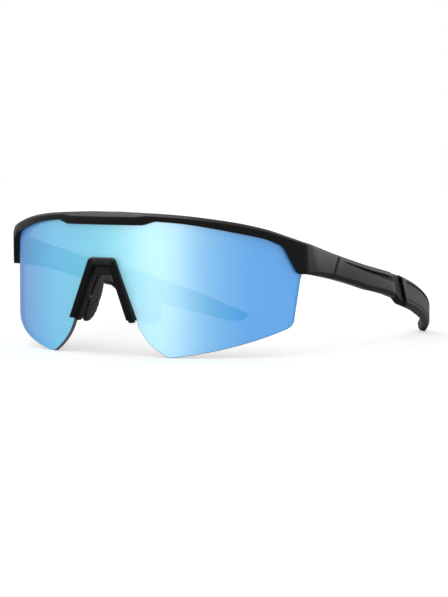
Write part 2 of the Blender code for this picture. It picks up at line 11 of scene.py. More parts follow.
import bmesh
import bpy
from bpy.props import FloatProperty, FloatVectorProperty, PointerProperty
from bpy.types import Operator, Panel, PropertyGroup
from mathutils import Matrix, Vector


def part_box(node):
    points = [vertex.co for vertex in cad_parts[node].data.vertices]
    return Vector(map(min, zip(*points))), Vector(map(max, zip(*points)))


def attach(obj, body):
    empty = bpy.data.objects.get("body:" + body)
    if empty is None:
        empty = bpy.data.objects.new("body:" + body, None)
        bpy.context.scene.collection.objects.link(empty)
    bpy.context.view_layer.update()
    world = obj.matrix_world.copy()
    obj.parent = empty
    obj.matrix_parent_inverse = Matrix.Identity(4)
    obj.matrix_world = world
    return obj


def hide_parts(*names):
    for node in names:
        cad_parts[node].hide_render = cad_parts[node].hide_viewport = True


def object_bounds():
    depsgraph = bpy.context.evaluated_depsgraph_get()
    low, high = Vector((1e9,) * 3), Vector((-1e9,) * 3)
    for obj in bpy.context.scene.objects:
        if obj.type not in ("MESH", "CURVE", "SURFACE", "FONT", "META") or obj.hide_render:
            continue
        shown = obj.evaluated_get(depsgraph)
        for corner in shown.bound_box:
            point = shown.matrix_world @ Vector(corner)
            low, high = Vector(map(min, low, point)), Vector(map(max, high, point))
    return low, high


bl_info = {
    "name": "Shield Sunglasses",
    "version": (1, 0, 0),
    "blender": (4, 5, 0),
    "location": "3D View > Sidebar > Eyewear",
    "description": "Builds the shield lens, frame, temples, hinges and nose piece of sport sunglasses",
    "category": "Add Mesh",
}

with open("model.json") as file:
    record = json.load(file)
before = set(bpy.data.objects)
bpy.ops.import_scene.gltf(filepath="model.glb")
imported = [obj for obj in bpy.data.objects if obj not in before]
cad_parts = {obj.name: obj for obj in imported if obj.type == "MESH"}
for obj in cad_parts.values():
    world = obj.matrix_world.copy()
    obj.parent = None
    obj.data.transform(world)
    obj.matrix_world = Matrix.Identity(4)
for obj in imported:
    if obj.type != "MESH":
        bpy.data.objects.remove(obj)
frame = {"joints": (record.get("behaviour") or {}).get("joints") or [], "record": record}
CAD_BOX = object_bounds()
MM = 0.001
SIDES = ((1, "left"), (-1, "right"))
CORNER_STEPS = 3
SHARP_ANGLE = 34

# The layout frame's place: the nose bracket's front is BRACKET_FRONT_Y in it
BRACKET_FRONT_Y = -0.3
SHIFT_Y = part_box("nose_bracket")[0].y / MM - BRACKET_FRONT_Y

# Shield lens
LENS_RADIUS = 85.0
LENS_FRONT_Y = 1.5
LENS_CENTRE_Y = LENS_FRONT_Y + LENS_RADIUS
LENS_THICKNESS = 1.8
LENS_TOP_COVER = 1.9
LENS_SIDE_X = 66.9
LENS_EDGE_BEVEL = 0.16
LENS_TOP_FALL = (60, 9.0)
LENS_HELD_X = 62
FACE_ALIGNMENT = 0.99

# Brow frame
BROW_FRONT = 1.5
BROW_END_BULGE = 0.9
BROW_BULGE_X = (46, 58)
BROW_BACK = -3.8
BROW_TOP_SETBACK = 0.2
BROW_TOP_POINTS = ((7, 53.65), (14, 53.4), (26.5, 52.8), (36.3, 51.9), (49, 49.9), (57.5, 47.6),
                  (62.5, 45.3), (67.4, 42.7))
BROW_LOW_POINTS = ((21.9, 50.2), (30, 49.6), (38, 48.5), (50.5, 45.8), (57.5, 43.8), (62, 41.2))
PLATEAU_HALF_WIDTH = 17.4
PLATEAU_LOW = 48.75
PLATEAU_FACET = 51.7
FACET_DROP = 0.9
BROW_END_X = 67.4
FOLD_Y = 39.2
FOLD_LEAN = -0.43
ENDPIECE_LOW = 30.9

# Temples: curves along y, from the fold in the endpiece to the tip
TEMPLE_START_Y = 36.1
TEMPLE_END_Y = 169.0
TEMPLE_OUTER = (69.9, 69.2, 82.8, 44.4)
TEMPLE_TOP = (42.3, 29.6, 25.1, 2.2)
TEMPLE_LOW = (30.8, 25.8, 6.8, -1.6)
TEMPLE_THICKNESS = (5.0, 4.6, 4.2, 3.4)
TEMPLE_LEAN = ((46, 0.1), (53.2, 0.48), (59, 0.25), (66, 0.1), (73, 0), (80, 0), (87.5, -0.15), (95.7, -0.38),
               (104.5, -0.51), (112, -0.2), (119, 0), (139.5, 0), (145.5, 0.1), (151.5, 0.25), (157, 0.45),
               (162, 0.7), (166.4, 0.9))

# Swellings on the temple's plain curves: height in mm, then where each comes in and goes out along y
GRIP_LIFT = (0.9, (75, 100), (148, 162))
ARM_FULLER = (0.6, (78, 90), (99, 103))
GRIP_LIP = (0.8, (99, 103), (104, 118))
SEAM_Y = 53.2
SEAM_GAP = 0.1
TONGUE_PLAY = 0.3
GRIP_GAP = 0.04
GRIP_JOINT_Y = 95.7
GRIP_PANEL_Y = 104.4
GRIP_PANEL_LEAN = 0.51
TIP_Y = 166.4
COLLAR_DEPTH = 1.1
TONGUE_INSET = 2.6
TONGUE_HALF = (0.8, 2.2)
TONGUE_END_Y = 122.0
SLOT_START_Y = 59.0

# Temple hinges, on the axis that the frame gives
FOLD_JOINT = next(joint for joint in frame["joints"] if joint["name"] == "temple_fold_left")
HINGE_X = FOLD_JOINT["pos_m"][0] / MM
HINGE_Y = FOLD_JOINT["pos_m"][1] / MM - SHIFT_Y
BARREL_RADIUS = 1.5
BARREL_BORE = 1.0
BARREL_LEVELS = ((30.4, 31.9), (32.2, 34.0), (34.3, 35.8))
HINGE_SCREW_LEVELS = (30.1, 36.1)
LEAF_X = (64.9, 65.8)
FRONT_LEAF_Y = (43.9, 51.2)
FRONT_LEAF_Z = (30.4, 35.8)
REAR_LEAF_Y = (54.8, 62.0)
REAR_LEAF_Z = (30.9, 34.6)
FRONT_LEAF_SCREW = (46.6, 33.1)
REAR_LEAF_SCREW = (59.4, 32.6)
LEAF_SCREW_HOLE = 0.8
LEAF_SCREW_END_X = 68.2
LEAF_HEAD_X = 63.9
HINGE_ROOM = 0.3
POCKET_INNER_X = 62.0
POCKET_Z = (29.8, 37.2)
BARREL_BEVEL = 0.12
SCREW_SLOT_HALF = 0.15

# Nose piece: an arch on slanted legs, seen from the front
LEG_SLOPE = -0.4087
LEG_FOOT_Z = 13.6
LEG_OUTER_X = 15.1
LEG_WIDTH = 3.7
ARCH_TOP = 36.6
ARCH_LOW = 33.3
ARCH_TILT = 1.0
BRACKET_BAR = 0.95
BRACKET_WALL = 0.52
LENS_NOTCH_INSET = 0.8
SADDLE_Y = (0.95, 4.2)
SADDLE_WIDTH = 0.38
SADDLE_ARCH_LOW = 29.9
SADDLE_FOOT_Z = 12.5

# Nose pads: slabs in a slanted plane |x| = base + slope_y * y + slope_z * z
PAD_BASE = 14.7
PAD_SLOPE_Y = 0.22
PAD_SLOPE_Z = -0.27
PAD_OUTLINE = ((8.8, 11.9), (6.9, 14.4), (7.7, 18.6), (9.3, 24.5), (11.3, 28.5), (13.2, 30.9), (15.6, 30.4),
               (17.4, 27.6), (18.2, 23.6), (17.9, 19.0), (16.9, 15.2), (14.6, 12.4), (11.6, 11.5))
PAD_LAYERS = ((0.0, 0.84), (0.12, 0.91), (0.35, 0.965), (0.7, 1.0), (1.5, 1.0), (1.85, 0.965), (2.08, 0.91),
              (2.2, 0.84))
PAD_THICKNESS = PAD_LAYERS[-1][0]
PAD_HOLE = (13.4, 19.3)
PAD_RIDGES_Z = (14.2, 16.0, 17.9, 19.9)
PAD_WIRE_RADIUS = 0.45
PAD_WIRE_Z = 21.2
PAD_WIRE_START_Y = 4.9
PAD_WIRE_END_Y = 14.6
PAD_BOSS_RADIUS = 1.0
PAD_BOSS_END_Y = 5.6
WIRE_PLAY = 0.12

# Scallops where the ridges reach the pad's outline: start, run and pitch in steps of its points, depth in mm
SCALLOP_START = 8.8
SCALLOP_RUN = 2.7
SCALLOP_PITCH = 0.675
SCALLOP_DEPTH = 0.55

# The floor shines a little itself, so that it stays as pale as the surroundings far from the lights,
# and is darker where glossy pieces mirror it
FLOOR_GLOW = 0.27
FLOOR_IN_GLOSS = 0.6
FLOOR_DROP = 0.02
DUST_COLOUR = (0.32, 0.31, 0.30)
RUBBER_GRAIN = 0.3 * MM

# Softboxes: azimuth and elevation in degrees round LIGHT_TARGET, then distance and size in metres
LIGHT_TARGET = (0, -0.05, 0.03)
KEY_SOFTBOX = (-60, 64, 0.8, (0.5, 0.7))
SIDE_SOFTBOX = (150, 12, 0.7, (0.35, 0.35))
LENS_SOFTBOX = (3, 5, 0.2, (0.1, 0.26))
CAMERA_TARGET = (0.0802, -0.1206, 0.0266)


# ---------------------------------------------------------------- what a user would change

def colour_property(name, description, default):
    return FloatVectorProperty(name=name, description=description, default=default, size=3,
                               subtype="COLOR", min=0.0, max=1.0)


def length_property(name, description, default):
    return FloatProperty(name=name, description=description, default=default, min=0.0, unit="LENGTH",
                         precision=5)


class FrameSizes(PropertyGroup):
    """Small sizes of the moulded pieces."""
    edge_round: length_property("Edge rounding", "How far each moulded edge is rounded off", 0.26 * MM)
    seam_bevel: length_property("Seam bevel", "Bevel on both sides of a joint line", 0.28 * MM)
    lens_play: length_property("Lens play", "Room between the lens and the groove that holds it", 0.12 * MM)
    slot_depth: length_property("Slot depth", "Depth of the long wedge slot in each arm", 1.1 * MM)
    border_depth: length_property("Border depth", "Depth of the line round each grip's panel", 0.45 * MM)


class LensColoursWithPaintedReflection(PropertyGroup):
    """Colours of the mirror coating, partly its own tint and partly painted reflection, from the wearer's
    right across the nose to the wearer's left.
    """
    right_side: colour_property("Right side", "Coating at the wearer's right end", (0.01, 0.28, 0.80))
    right_between: colour_property("Right half", "Coating half way to the right end", (0.14, 0.62, 1.0))
    middle: colour_property("Middle", "Coating over the nose", (0.18, 0.78, 0.95))
    left_between: colour_property("Left half", "Coating half way to the left end", (0.17, 0.61, 0.90))
    left_side: colour_property("Left side", "Coating at the wearer's left end", (0.05, 0.40, 1.0))
    tint: colour_property("Tint", "Smoke tint of the lens' body", (0.05, 0.06, 0.07))
    opacity: FloatProperty(name="Coating opacity", description="Share of light that the coating stops",
                           default=0.90, min=0.0, max=1.0, subtype="FACTOR")


class PlasticFinish(PropertyGroup):
    """Colours of the plastics, the rubber and the steel."""
    plastic: colour_property("Frame plastic", "Matte plastic of frame and arms", (0.0045, 0.0043, 0.0048))
    clip: colour_property("Nose clip plastic", "Plastic of the nose bracket", (0.0016, 0.0015, 0.0016))
    rubber: colour_property("Rubber", "Soft rubber of the grips", (0.010, 0.0088, 0.0092))
    nose_rubber: colour_property("Nose rubber", "Soft rubber of saddle and pads", (0.0095, 0.0083, 0.0085))
    steel: colour_property("Steel", "Hinge plates, screws and pad wires", (0.16, 0.16, 0.17))
    grain_size: length_property("Grain size", "Size of the moulded surface's grain", 0.22 * MM)
    gloss: FloatProperty(name="Plastic roughness", description="Roughness of the matte plastic",
                         default=0.40, min=0.05, max=1.0, subtype="FACTOR")


class StageSettings(PropertyGroup):
    """Floor, camera and lights."""
    floor_size: length_property("Floor size", "Width of the pale floor", 6.0)
    floor: colour_property("Floor colour", "Colour of the floor", (0.92, 0.92, 0.92))
    sky: FloatProperty(name="Surroundings", description="Brightness of the white surroundings",
                       default=0.9, min=0.0)
    key_power: FloatProperty(name="Key light", description="Power of the large upper light",
                             default=11.0, min=0.0, unit="POWER")
    side_power: FloatProperty(name="Side light", description="Power of the light behind the left temple",
                              default=2.0, min=0.0, unit="POWER")
    lens_power: FloatProperty(name="Lens light", description="Power of the tall light that the lens mirrors",
                              default=1.75, min=0.0, unit="POWER")
    camera_azimuth: FloatProperty(name="Camera azimuth", description="Turn of the camera round the object",
                                  default=math.radians(33.9), subtype="ANGLE")
    camera_height: FloatProperty(name="Camera elevation", description="Angle of the camera above the floor",
                                 default=math.radians(4.04), subtype="ANGLE")
    camera_distance: length_property("Camera distance", "From the camera to the point it looks at", 0.7)
    focal_length: FloatProperty(name="Focal length", description="Focal length of the camera in millimetres",
                                default=125.5, min=1.0)


# ---------------------------------------------------------------- curves

def bezier(a, b, c, d, t):
    """The value at t of a cubic curve through a and d, pulled towards b and c."""
    s = 1 - t
    return s * s * s * a + 3 * s * s * t * b + 3 * s * t * t * c + t * t * t * d


def curve_points(a, b, c, d, count):
    """Points on a plane cubic curve after its first point, ending on d."""
    return [tuple(bezier(a[k], b[k], c[k], d[k], i / count) for k in (0, 1)) for i in range(1, count + 1)]


def line_points(a, b, count):
    return [tuple(a[k] + (b[k] - a[k]) * i / count for k in (0, 1)) for i in range(1, count + 1)]


def smooth_between(points, x):
    """A smooth curve through a few (x, value) points, read at x."""
    if x <= points[0][0]:
        return points[0][1]
    if x >= points[-1][0]:
        return points[-1][1]
    slopes = []
    for i in range(len(points)):
        before = points[max(i - 1, 0)]
        after = points[min(i + 1, len(points) - 1)]
        slopes.append((after[1] - before[1]) / (after[0] - before[0]))
    for i in range(len(points) - 1):
        (x0, v0), (x1, v1) = points[i], points[i + 1]
        if x <= x1:
            span = x1 - x0
            t = (x - x0) / span
            return bezier(v0, v0 + slopes[i] * span / 3, v1 - slopes[i + 1] * span / 3, v1, t)


def blend(a, b, t):
    """From a at t = 0 to b at t = 1, held outside that range."""
    t = min(max(t, 0), 1)
    return a + (b - a) * t


def stations(breaks, step):
    """Values from the first break to the last, through every break, no more than a step apart."""
    values = [breaks[0]]
    for a, b in zip(breaks, breaks[1:]):
        count = max(1, math.ceil(abs(b - a) / step))
        values += [a + (b - a) * i / count for i in range(1, count + 1)]
    return values


# ---------------------------------------------------------------- rings and skins

def rounded(corners, reach):
    """A closed section with each corner turned into a short arc that starts `reach` mm before it."""
    points = []
    for i, corner in enumerate(corners):
        here = Vector(corner)
        ends = []
        for other in (corners[i - 1], corners[(i + 1) % len(corners)]):
            arm = Vector(other) - here
            ends.append(here + arm * min(reach / max(arm.length, 1e-6), 0.45))
        for k in range(CORNER_STEPS + 1):
            t = k / CORNER_STEPS
            s = 1 - t
            points.append(tuple(s * s * ends[0] + 2 * s * t * here + t * t * ends[1]))
    return points


def shrunk(ring, amount):
    """The ring drawn in towards its middle by an amount in mm."""
    middle = sum((Vector(p) for p in ring), Vector((0, 0, 0))) / len(ring)
    moved = []
    for point in ring:
        arm = middle - Vector(point)
        moved.append(tuple(Vector(point) + arm * min(amount / max(arm.length, 1e-6), 0.6)))
    return moved


def between(ring_a, ring_b, t):
    return [tuple(Vector(a).lerp(Vector(b), t)) for a, b in zip(ring_a, ring_b)]


def loft(rings):
    """Vertices and faces of a skin over rings of equal length, closed at both ends."""
    count = len(rings[0])
    verts = [p for ring in rings for p in ring]
    faces = []
    for i in range(len(rings) - 1):
        for j in range(count):
            k = (j + 1) % count
            faces.append((i * count + j, i * count + k, (i + 1) * count + k, (i + 1) * count + j))
    faces.append(tuple(range(count)))
    faces.append(tuple(range((len(rings) - 1) * count, len(rings) * count)))
    return verts, faces


def mirrored(rings):
    """The same rings on the other side of the symmetry plane, in the opposite order."""
    return [[(-x, y, z) for x, y, z in ring] for ring in reversed(rings)]


def box(xs, ys, zs):
    verts = [(x, y, z) for x in xs for y in ys for z in zs]
    faces = [(0, 1, 3, 2), (4, 6, 7, 5), (0, 4, 5, 1), (2, 3, 7, 6), (0, 2, 6, 4), (1, 5, 7, 3)]
    return verts, faces


def turned(axis, start, profile, sides=32):
    """A round solid along x, y or z: profile is (distance from start, radius) pairs."""
    a, b = [k for k in range(3) if k != axis]
    rings = []
    for distance, radius in profile:
        ring = []
        for i in range(sides):
            angle = 2 * math.pi * (i + 0.5) / sides
            point = list(start)
            point[axis] += distance
            point[a] += radius * math.cos(angle)
            point[b] += radius * math.sin(angle)
            ring.append(tuple(point))
        rings.append(ring)
    return loft(rings)


def tube(path, radius, sides=20):
    """A round wire along a path, with a small bevel at both ends."""
    rings = []
    for i, point in enumerate(path):
        before, after = Vector(path[max(i - 1, 0)]), Vector(path[min(i + 1, len(path) - 1)])
        along = (after - before).normalized()
        across = along.cross(Vector((0, 0, 1))).normalized()
        up = across.cross(along)
        size = radius * (0.7 if i in (0, len(path) - 1) else 1.0)
        turns = [2 * math.pi * k / sides for k in range(sides)]
        rings.append([tuple(Vector(point) + size * (math.cos(a) * across + math.sin(a) * up)) for a in turns])
    return loft(rings)


# ---------------------------------------------------------------- making pieces

def to_world(point, side):
    """A layout point in mm as a point of the frame in metres."""
    return Vector((point[0] * side, point[1] + SHIFT_Y, point[2])) * MM


def make_mesh(name, shape, side=1, material=None):
    verts, faces = shape
    mesh = bpy.data.meshes.new(name)
    mesh.from_pydata([to_world(v, side) for v in verts], [], faces)
    work = bmesh.new()
    work.from_mesh(mesh)
    bmesh.ops.recalc_face_normals(work, faces=work.faces)
    work.to_mesh(mesh)
    work.free()
    if material:
        mesh.materials.append(material)
    obj = bpy.data.objects.new(name, mesh)
    bpy.context.scene.collection.objects.link(obj)
    return obj


def carve(obj, tools, side=1, material=None):
    """Cuts the tools' shapes out of an object, or joins them on; a material is for the cuts' walls, where it
    paints shade into the recess.
    """
    made = []
    for i, (shape, operation) in enumerate(tools):
        tool = make_mesh(f"tool_{i}", shape, side, material)
        step = obj.modifiers.new(tool.name, "BOOLEAN")
        step.operation = operation
        step.object = tool
        step.material_mode = "TRANSFER" if material else "INDEX"
        made.append(tool)
    keep_shape(obj)
    for tool in made:
        bpy.data.objects.remove(tool, do_unlink=True)


def keep_shape(obj):
    """Makes the object's modified shape its own mesh."""
    bpy.context.view_layer.update()
    graph = bpy.context.evaluated_depsgraph_get()
    shape = bpy.data.meshes.new_from_object(obj.evaluated_get(graph))
    obj.modifiers.clear()
    obj.data = shape


def finish_piece(obj, node, material):
    """Shades the piece, gives it its material and ties it to the body of the node it stands for."""
    obj.data.shade_smooth()
    obj.data.set_sharp_from_angle(angle=math.radians(SHARP_ANGLE))
    if not obj.data.materials:
        obj.data.materials.append(material)
    bodies = frame["record"]["behaviour"]["bodies"]
    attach(obj, next(body for body, members in bodies.items() if node in members))
    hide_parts(node)


# ---------------------------------------------------------------- shader groups

def add_node(tree, kind, inputs=None, **settings):
    """A node with its settings and its inputs, each a value or another node's output."""
    node = tree.nodes.new(kind)
    for key, value in settings.items():
        setattr(node, key, value)
    for key, value in (inputs or {}).items():
        if isinstance(value, bpy.types.NodeSocket):
            tree.links.new(value, node.inputs[key])
        else:
            node.inputs[key].default_value = value
    return node


def new_group(name, inputs, outputs):
    """An empty shader group with float inputs, given with their defaults, and named outputs."""
    group = bpy.data.node_groups.new(name, "ShaderNodeTree")
    for socket, value in inputs.items():
        added = group.interface.new_socket(socket, in_out="INPUT", socket_type="NodeSocketFloat")
        added.default_value = value
    for socket in outputs:
        group.interface.new_socket(socket, in_out="OUTPUT", socket_type="NodeSocketFloat")
    return group, add_node(group, "NodeGroupInput").outputs, add_node(group, "NodeGroupOutput")


def object_noise(tree, scale, detail, stretch=(1, 1, 1)):
    """Noise fixed to the piece; scale is a number or an output."""
    place = add_node(tree, "ShaderNodeTexCoord").outputs["Object"]
    place = add_node(tree, "ShaderNodeMapping", {"Vector": place, "Scale": stretch}).outputs["Vector"]
    noise = add_node(tree, "ShaderNodeTexNoise", {"Vector": place, "Scale": scale, "Detail": detail})
    return noise.outputs["Fac"]


def math_node(tree, operation, a, b):
    return add_node(tree, "ShaderNodeMath", {0: a, 1: b}, operation=operation, use_clamp=False).outputs[0]


def sized_noise(tree, size, detail):
    """Noise whose features have the size, in metres, that an output gives."""
    return object_noise(tree, math_node(tree, "DIVIDE", 1.0, size), detail)


def mask_between(tree, value, low, high):
    """0 where the value is low or less, rising to 1 where it is high or more."""
    node = add_node(tree, "ShaderNodeMapRange", {"Value": value, "From Min": low, "From Max": high})
    return node.outputs[0]


def make_grain_group():
    """Fine moulded grain: a height for a bump, and slow cloudy variation."""
    group, given, output = new_group("moulded_grain", {"Size": 0.0002, "Cloud Size": 0.01},
                                     ("Height", "Cloud"))
    fine = sized_noise(group, given["Size"], 3.0)
    cloud = sized_noise(group, given["Cloud Size"], 4.0)
    group.links.new(fine, output.inputs["Height"])
    group.links.new(cloud, output.inputs["Cloud"])
    return group


def make_wear_and_highlight_group():
    """Rubbed edges, partly wear and partly painted highlight: where the surface is sharply convex, broken up
    by noise.
    """
    group, given, output = new_group("edge_wear_and_highlight", {"Amount": 0.5, "Patch Size": 0.004}, ("Mask",))
    point = add_node(group, "ShaderNodeNewGeometry").outputs["Pointiness"]
    convex = mask_between(group, point, 0.52, 0.62)
    broken = mask_between(group, sized_noise(group, given["Patch Size"], 3.0), 0.35, 0.7)
    mask = math_node(group, "MULTIPLY", math_node(group, "MULTIPLY", convex, broken), given["Amount"])
    group.links.new(mask, output.inputs["Mask"])
    return group


def make_dust_group():
    """A little settled dust on faces that look up."""
    group, given, output = new_group("settled_dust", {"Amount": 0.1, "Speck Size": 0.001}, ("Mask",))
    normal = add_node(group, "ShaderNodeNewGeometry").outputs["Normal"]
    up = add_node(group, "ShaderNodeSeparateXYZ", {"Vector": normal}).outputs["Z"]
    facing = mask_between(group, up, 0.2, 1.0)
    sparse = mask_between(group, sized_noise(group, given["Speck Size"], 5.0), 0.5, 0.75)
    mask = math_node(group, "MULTIPLY", math_node(group, "MULTIPLY", facing, sparse), given["Amount"])
    group.links.new(mask, output.inputs["Mask"])
    return group


GROUP_MAKERS = {"moulded_grain": make_grain_group, "edge_wear_and_highlight": make_wear_and_highlight_group,
                "settled_dust": make_dust_group}


def place_group(tree, name, **values):
    """One of the shared groups, built the first time it is asked for, with its own values."""
    group = bpy.data.node_groups.get(name) or GROUP_MAKERS[name]()
    node = add_node(tree, "ShaderNodeGroup", node_tree=group)
    for key, value in values.items():
        node.inputs[key.replace("_", " ").title()].default_value = value
    return node.outputs


# ---------------------------------------------------------------- materials

def new_material(name, **constants):
    """A material with its Principled shader's constant sockets set; spaces in their names are _."""
    material = bpy.data.materials.new(name)
    material.use_nodes = True
    shader = material.node_tree.nodes["Principled BSDF"]
    for key, value in constants.items():
        shader.inputs[key.replace("_", " ")].default_value = value
    return material, material.node_tree, shader


def shaded(colour, factor):
    """The colour made lighter or darker by a factor."""
    return [min(1.0, c * factor) for c in colour]


def mix_colour(tree, share, a, b):
    """A colour that turns from a to b with the share; a and b are colours or outputs."""
    a, b = [value if isinstance(value, bpy.types.NodeSocket) else (*value[:3], 1.0) for value in (a, b)]
    return add_node(tree, "ShaderNodeMix", {"Factor": share, 6: a, 7: b}, data_type="RGBA").outputs[2]


def varied(tree, output, low, high):
    """A mask stretched to run from low to high."""
    return add_node(tree, "ShaderNodeMapRange", {"Value": output, "To Min": low, "To Max": high}).outputs[0]


def add_relief(tree, shader, height, strength, distance):
    relief = add_node(tree, "ShaderNodeBump", {"Height": height, "Strength": strength, "Distance": distance})
    tree.links.new(relief.outputs["Normal"], shader.inputs["Normal"])


def moulded_material(name, colour, roughness, grain, bump, wear_and_highlight, specular):
    """Matte plastic or rubber, made once: grain, cloudy sheen, edges lightened as partly rubbed wear and
    partly painted highlight, and a little dust.
    """
    found = bpy.data.materials.get(name)
    if found:
        return found
    material, tree, shader = new_material(name, Specular_IOR_Level=specular)
    surface = place_group(tree, "moulded_grain", size=grain, cloud_size=0.012)
    worn_and_highlit = place_group(tree, "edge_wear_and_highlight", amount=wear_and_highlight, patch_size=0.006)["Mask"]
    dusty = place_group(tree, "settled_dust", amount=0.05, speck_size=0.0009)["Mask"]
    base = mix_colour(tree, surface["Cloud"], shaded(colour, 0.75), shaded(colour, 1.5))
    # Sharp convex edges turn lighter: partly rubbed wear, partly a painted edge highlight
    base = mix_colour(tree, worn_and_highlit, base, [c * 2.5 + 0.012 for c in colour])
    base = mix_colour(tree, dusty, base, DUST_COLOUR)
    tree.links.new(base, shader.inputs["Base Color"])
    rough = varied(tree, surface["Cloud"], roughness - 0.05, roughness + 0.05)
    rough = math_node(tree, "SUBTRACT", rough, math_node(tree, "MULTIPLY", worn_and_highlit, 0.12))
    tree.links.new(rough, shader.inputs["Roughness"])
    add_relief(tree, shader, surface["Height"], bump, 0.00004)
    return material


def plastic_material():
    finish = bpy.context.scene.eyewear_plastic
    return moulded_material("matte_black_plastic", finish.plastic, finish.gloss, finish.grain_size,
                            bump=0.25, wear_and_highlight=0.5, specular=0.14)


def clip_material():
    finish = bpy.context.scene.eyewear_plastic
    return moulded_material("nose_clip_plastic", finish.clip, 0.36, finish.grain_size,
                            bump=0.15, wear_and_highlight=0.6, specular=0.12)


def rubber_material():
    finish = bpy.context.scene.eyewear_plastic
    return moulded_material("soft_black_rubber", finish.rubber, 0.56, RUBBER_GRAIN,
                            bump=0.4, wear_and_highlight=0.3, specular=0.2)


def nose_rubber_material():
    finish = bpy.context.scene.eyewear_plastic
    return moulded_material("soft_nose_rubber", finish.nose_rubber, 0.5, RUBBER_GRAIN,
                            bump=0.4, wear_and_highlight=0.3, specular=0.18)


# Darker plastic on the walls of slots and grooves, and on the grip's collar: painted shade in the recesses
def recess_painted_shade_material():
    finish = bpy.context.scene.eyewear_plastic
    return moulded_material("recess_painted_shade", shaded(finish.clip, 0.6), 0.6, finish.grain_size,
                            bump=0.2, wear_and_highlight=0.0, specular=0.12)


def steel_material(name="brushed_hinge_steel", shade=1.0):
    """Brushed steel: fine scratches along the leaf, and a little colour variation."""
    found = bpy.data.materials.get(name)
    if found:
        return found
    colour = shaded(bpy.context.scene.eyewear_plastic.steel, shade)
    material, tree, shader = new_material(name, Metallic=1.0, Anisotropic=0.4)
    surface = place_group(tree, "moulded_grain", size=0.0004, cloud_size=0.003)
    scratches = object_noise(tree, 9000.0, 2.0, (1.0, 0.06, 1.0))
    base = mix_colour(tree, surface["Cloud"], shaded(colour, 0.8), shaded(colour, 1.15))
    tree.links.new(base, shader.inputs["Base Color"])
    tree.links.new(varied(tree, scratches, 0.22, 0.40), shader.inputs["Roughness"])
    add_relief(tree, shader, scratches, 0.2, 0.00001)
    return material


def mirror_material_with_painted_reflection():
    """The lens' mirror coating: a colour that shifts across the lens, partly the coating's own tint and
    partly painted reflection; smoke seen from behind.
    """
    finish = bpy.context.scene.eyewear_lens
    material, tree, shader = new_material("mirror_coating_with_painted_reflection", Alpha=finish.opacity, Specular_IOR_Level=0.2,
                                          Coat_Weight=1.0, Coat_Roughness=0.45, Coat_IOR=1.3)
    place = add_node(tree, "ShaderNodeTexCoord").outputs["Object"]
    across = add_node(tree, "ShaderNodeSeparateXYZ", {"Vector": place}).outputs["X"]
    half = LENS_SIDE_X * MM
    # Painted reflection in the coating's colour: lighter over the nose, and darker at the wearer's right end
    # than at its left
    ramp = add_node(tree, "ShaderNodeValToRGB", {"Fac": mask_between(tree, across, -half, half)})
    stops = ramp.color_ramp.elements
    stops[0].position, stops[0].color = 0.10, (*finish.right_side, 1.0)
    stops[1].position, stops[1].color = 0.90, (*finish.left_side, 1.0)
    inner = ((0.30, finish.right_between), (0.54, finish.middle), (0.71, finish.left_between))
    for position, colour in inner:
        stops.new(position).color = (*colour, 1.0)
    cloud = place_group(tree, "moulded_grain", size=0.002, cloud_size=0.03)["Cloud"]
    shifted = mix_colour(tree, varied(tree, cloud, 0.0, 0.12), ramp.outputs["Color"], finish.middle)
    behind = add_node(tree, "ShaderNodeNewGeometry").outputs["Backfacing"]
    tree.links.new(mix_colour(tree, behind, shifted, finish.tint), shader.inputs["Base Color"])
    tree.links.new(varied(tree, cloud, 0.38, 0.44), shader.inputs["Roughness"])
    return material


def tint_material(name, alpha, shade):
    """The lens' smoke-tinted body, faintly uneven."""
    tint = shaded(bpy.context.scene.eyewear_lens.tint, shade)
    material, tree, shader = new_material(name, Alpha=alpha, Roughness=0.08)
    cloud = place_group(tree, "moulded_grain", size=0.002, cloud_size=0.02)["Cloud"]
    base = mix_colour(tree, cloud, shaded(tint, 0.8), shaded(tint, 1.2))
    tree.links.new(base, shader.inputs["Base Color"])
    return material


def floor_material():
    colour = bpy.context.scene.eyewear_stage.floor
    material, tree, shader = new_material("pale_floor", Roughness=0.9, Specular_IOR_Level=0.1,
                                          Emission_Color=(1, 1, 1, 1))
    path = add_node(tree, "ShaderNodeLightPath").outputs
    glow = math_node(tree, "MULTIPLY", path["Is Camera Ray"], FLOOR_GLOW)
    tree.links.new(glow, shader.inputs["Emission Strength"])
    cloud = place_group(tree, "moulded_grain", size=0.01, cloud_size=0.4)["Cloud"]
    base = mix_colour(tree, cloud, shaded(colour, 0.99), colour)
    base = mix_colour(tree, path["Is Glossy Ray"], base, shaded(colour, FLOOR_IN_GLOSS))
    tree.links.new(base, shader.inputs["Base Color"])
    return material


# ---------------------------------------------------------------- lens

def lens_point(x, offset, z):
    """The point `offset` mm outside the lens' front face, on the normal through x."""
    angle = math.asin(x / LENS_RADIUS)
    radius = LENS_RADIUS + offset
    return (radius * math.sin(angle), LENS_CENTRE_Y - radius * math.cos(angle), z)


def nose_edge_x(z):
    """The outer edge of the nose piece's leg at height z."""
    return LEG_OUTER_X + LEG_SLOPE * (z - LEG_FOOT_Z)


def brow_top(x):
    return smooth_between(BROW_TOP_POINTS, x)


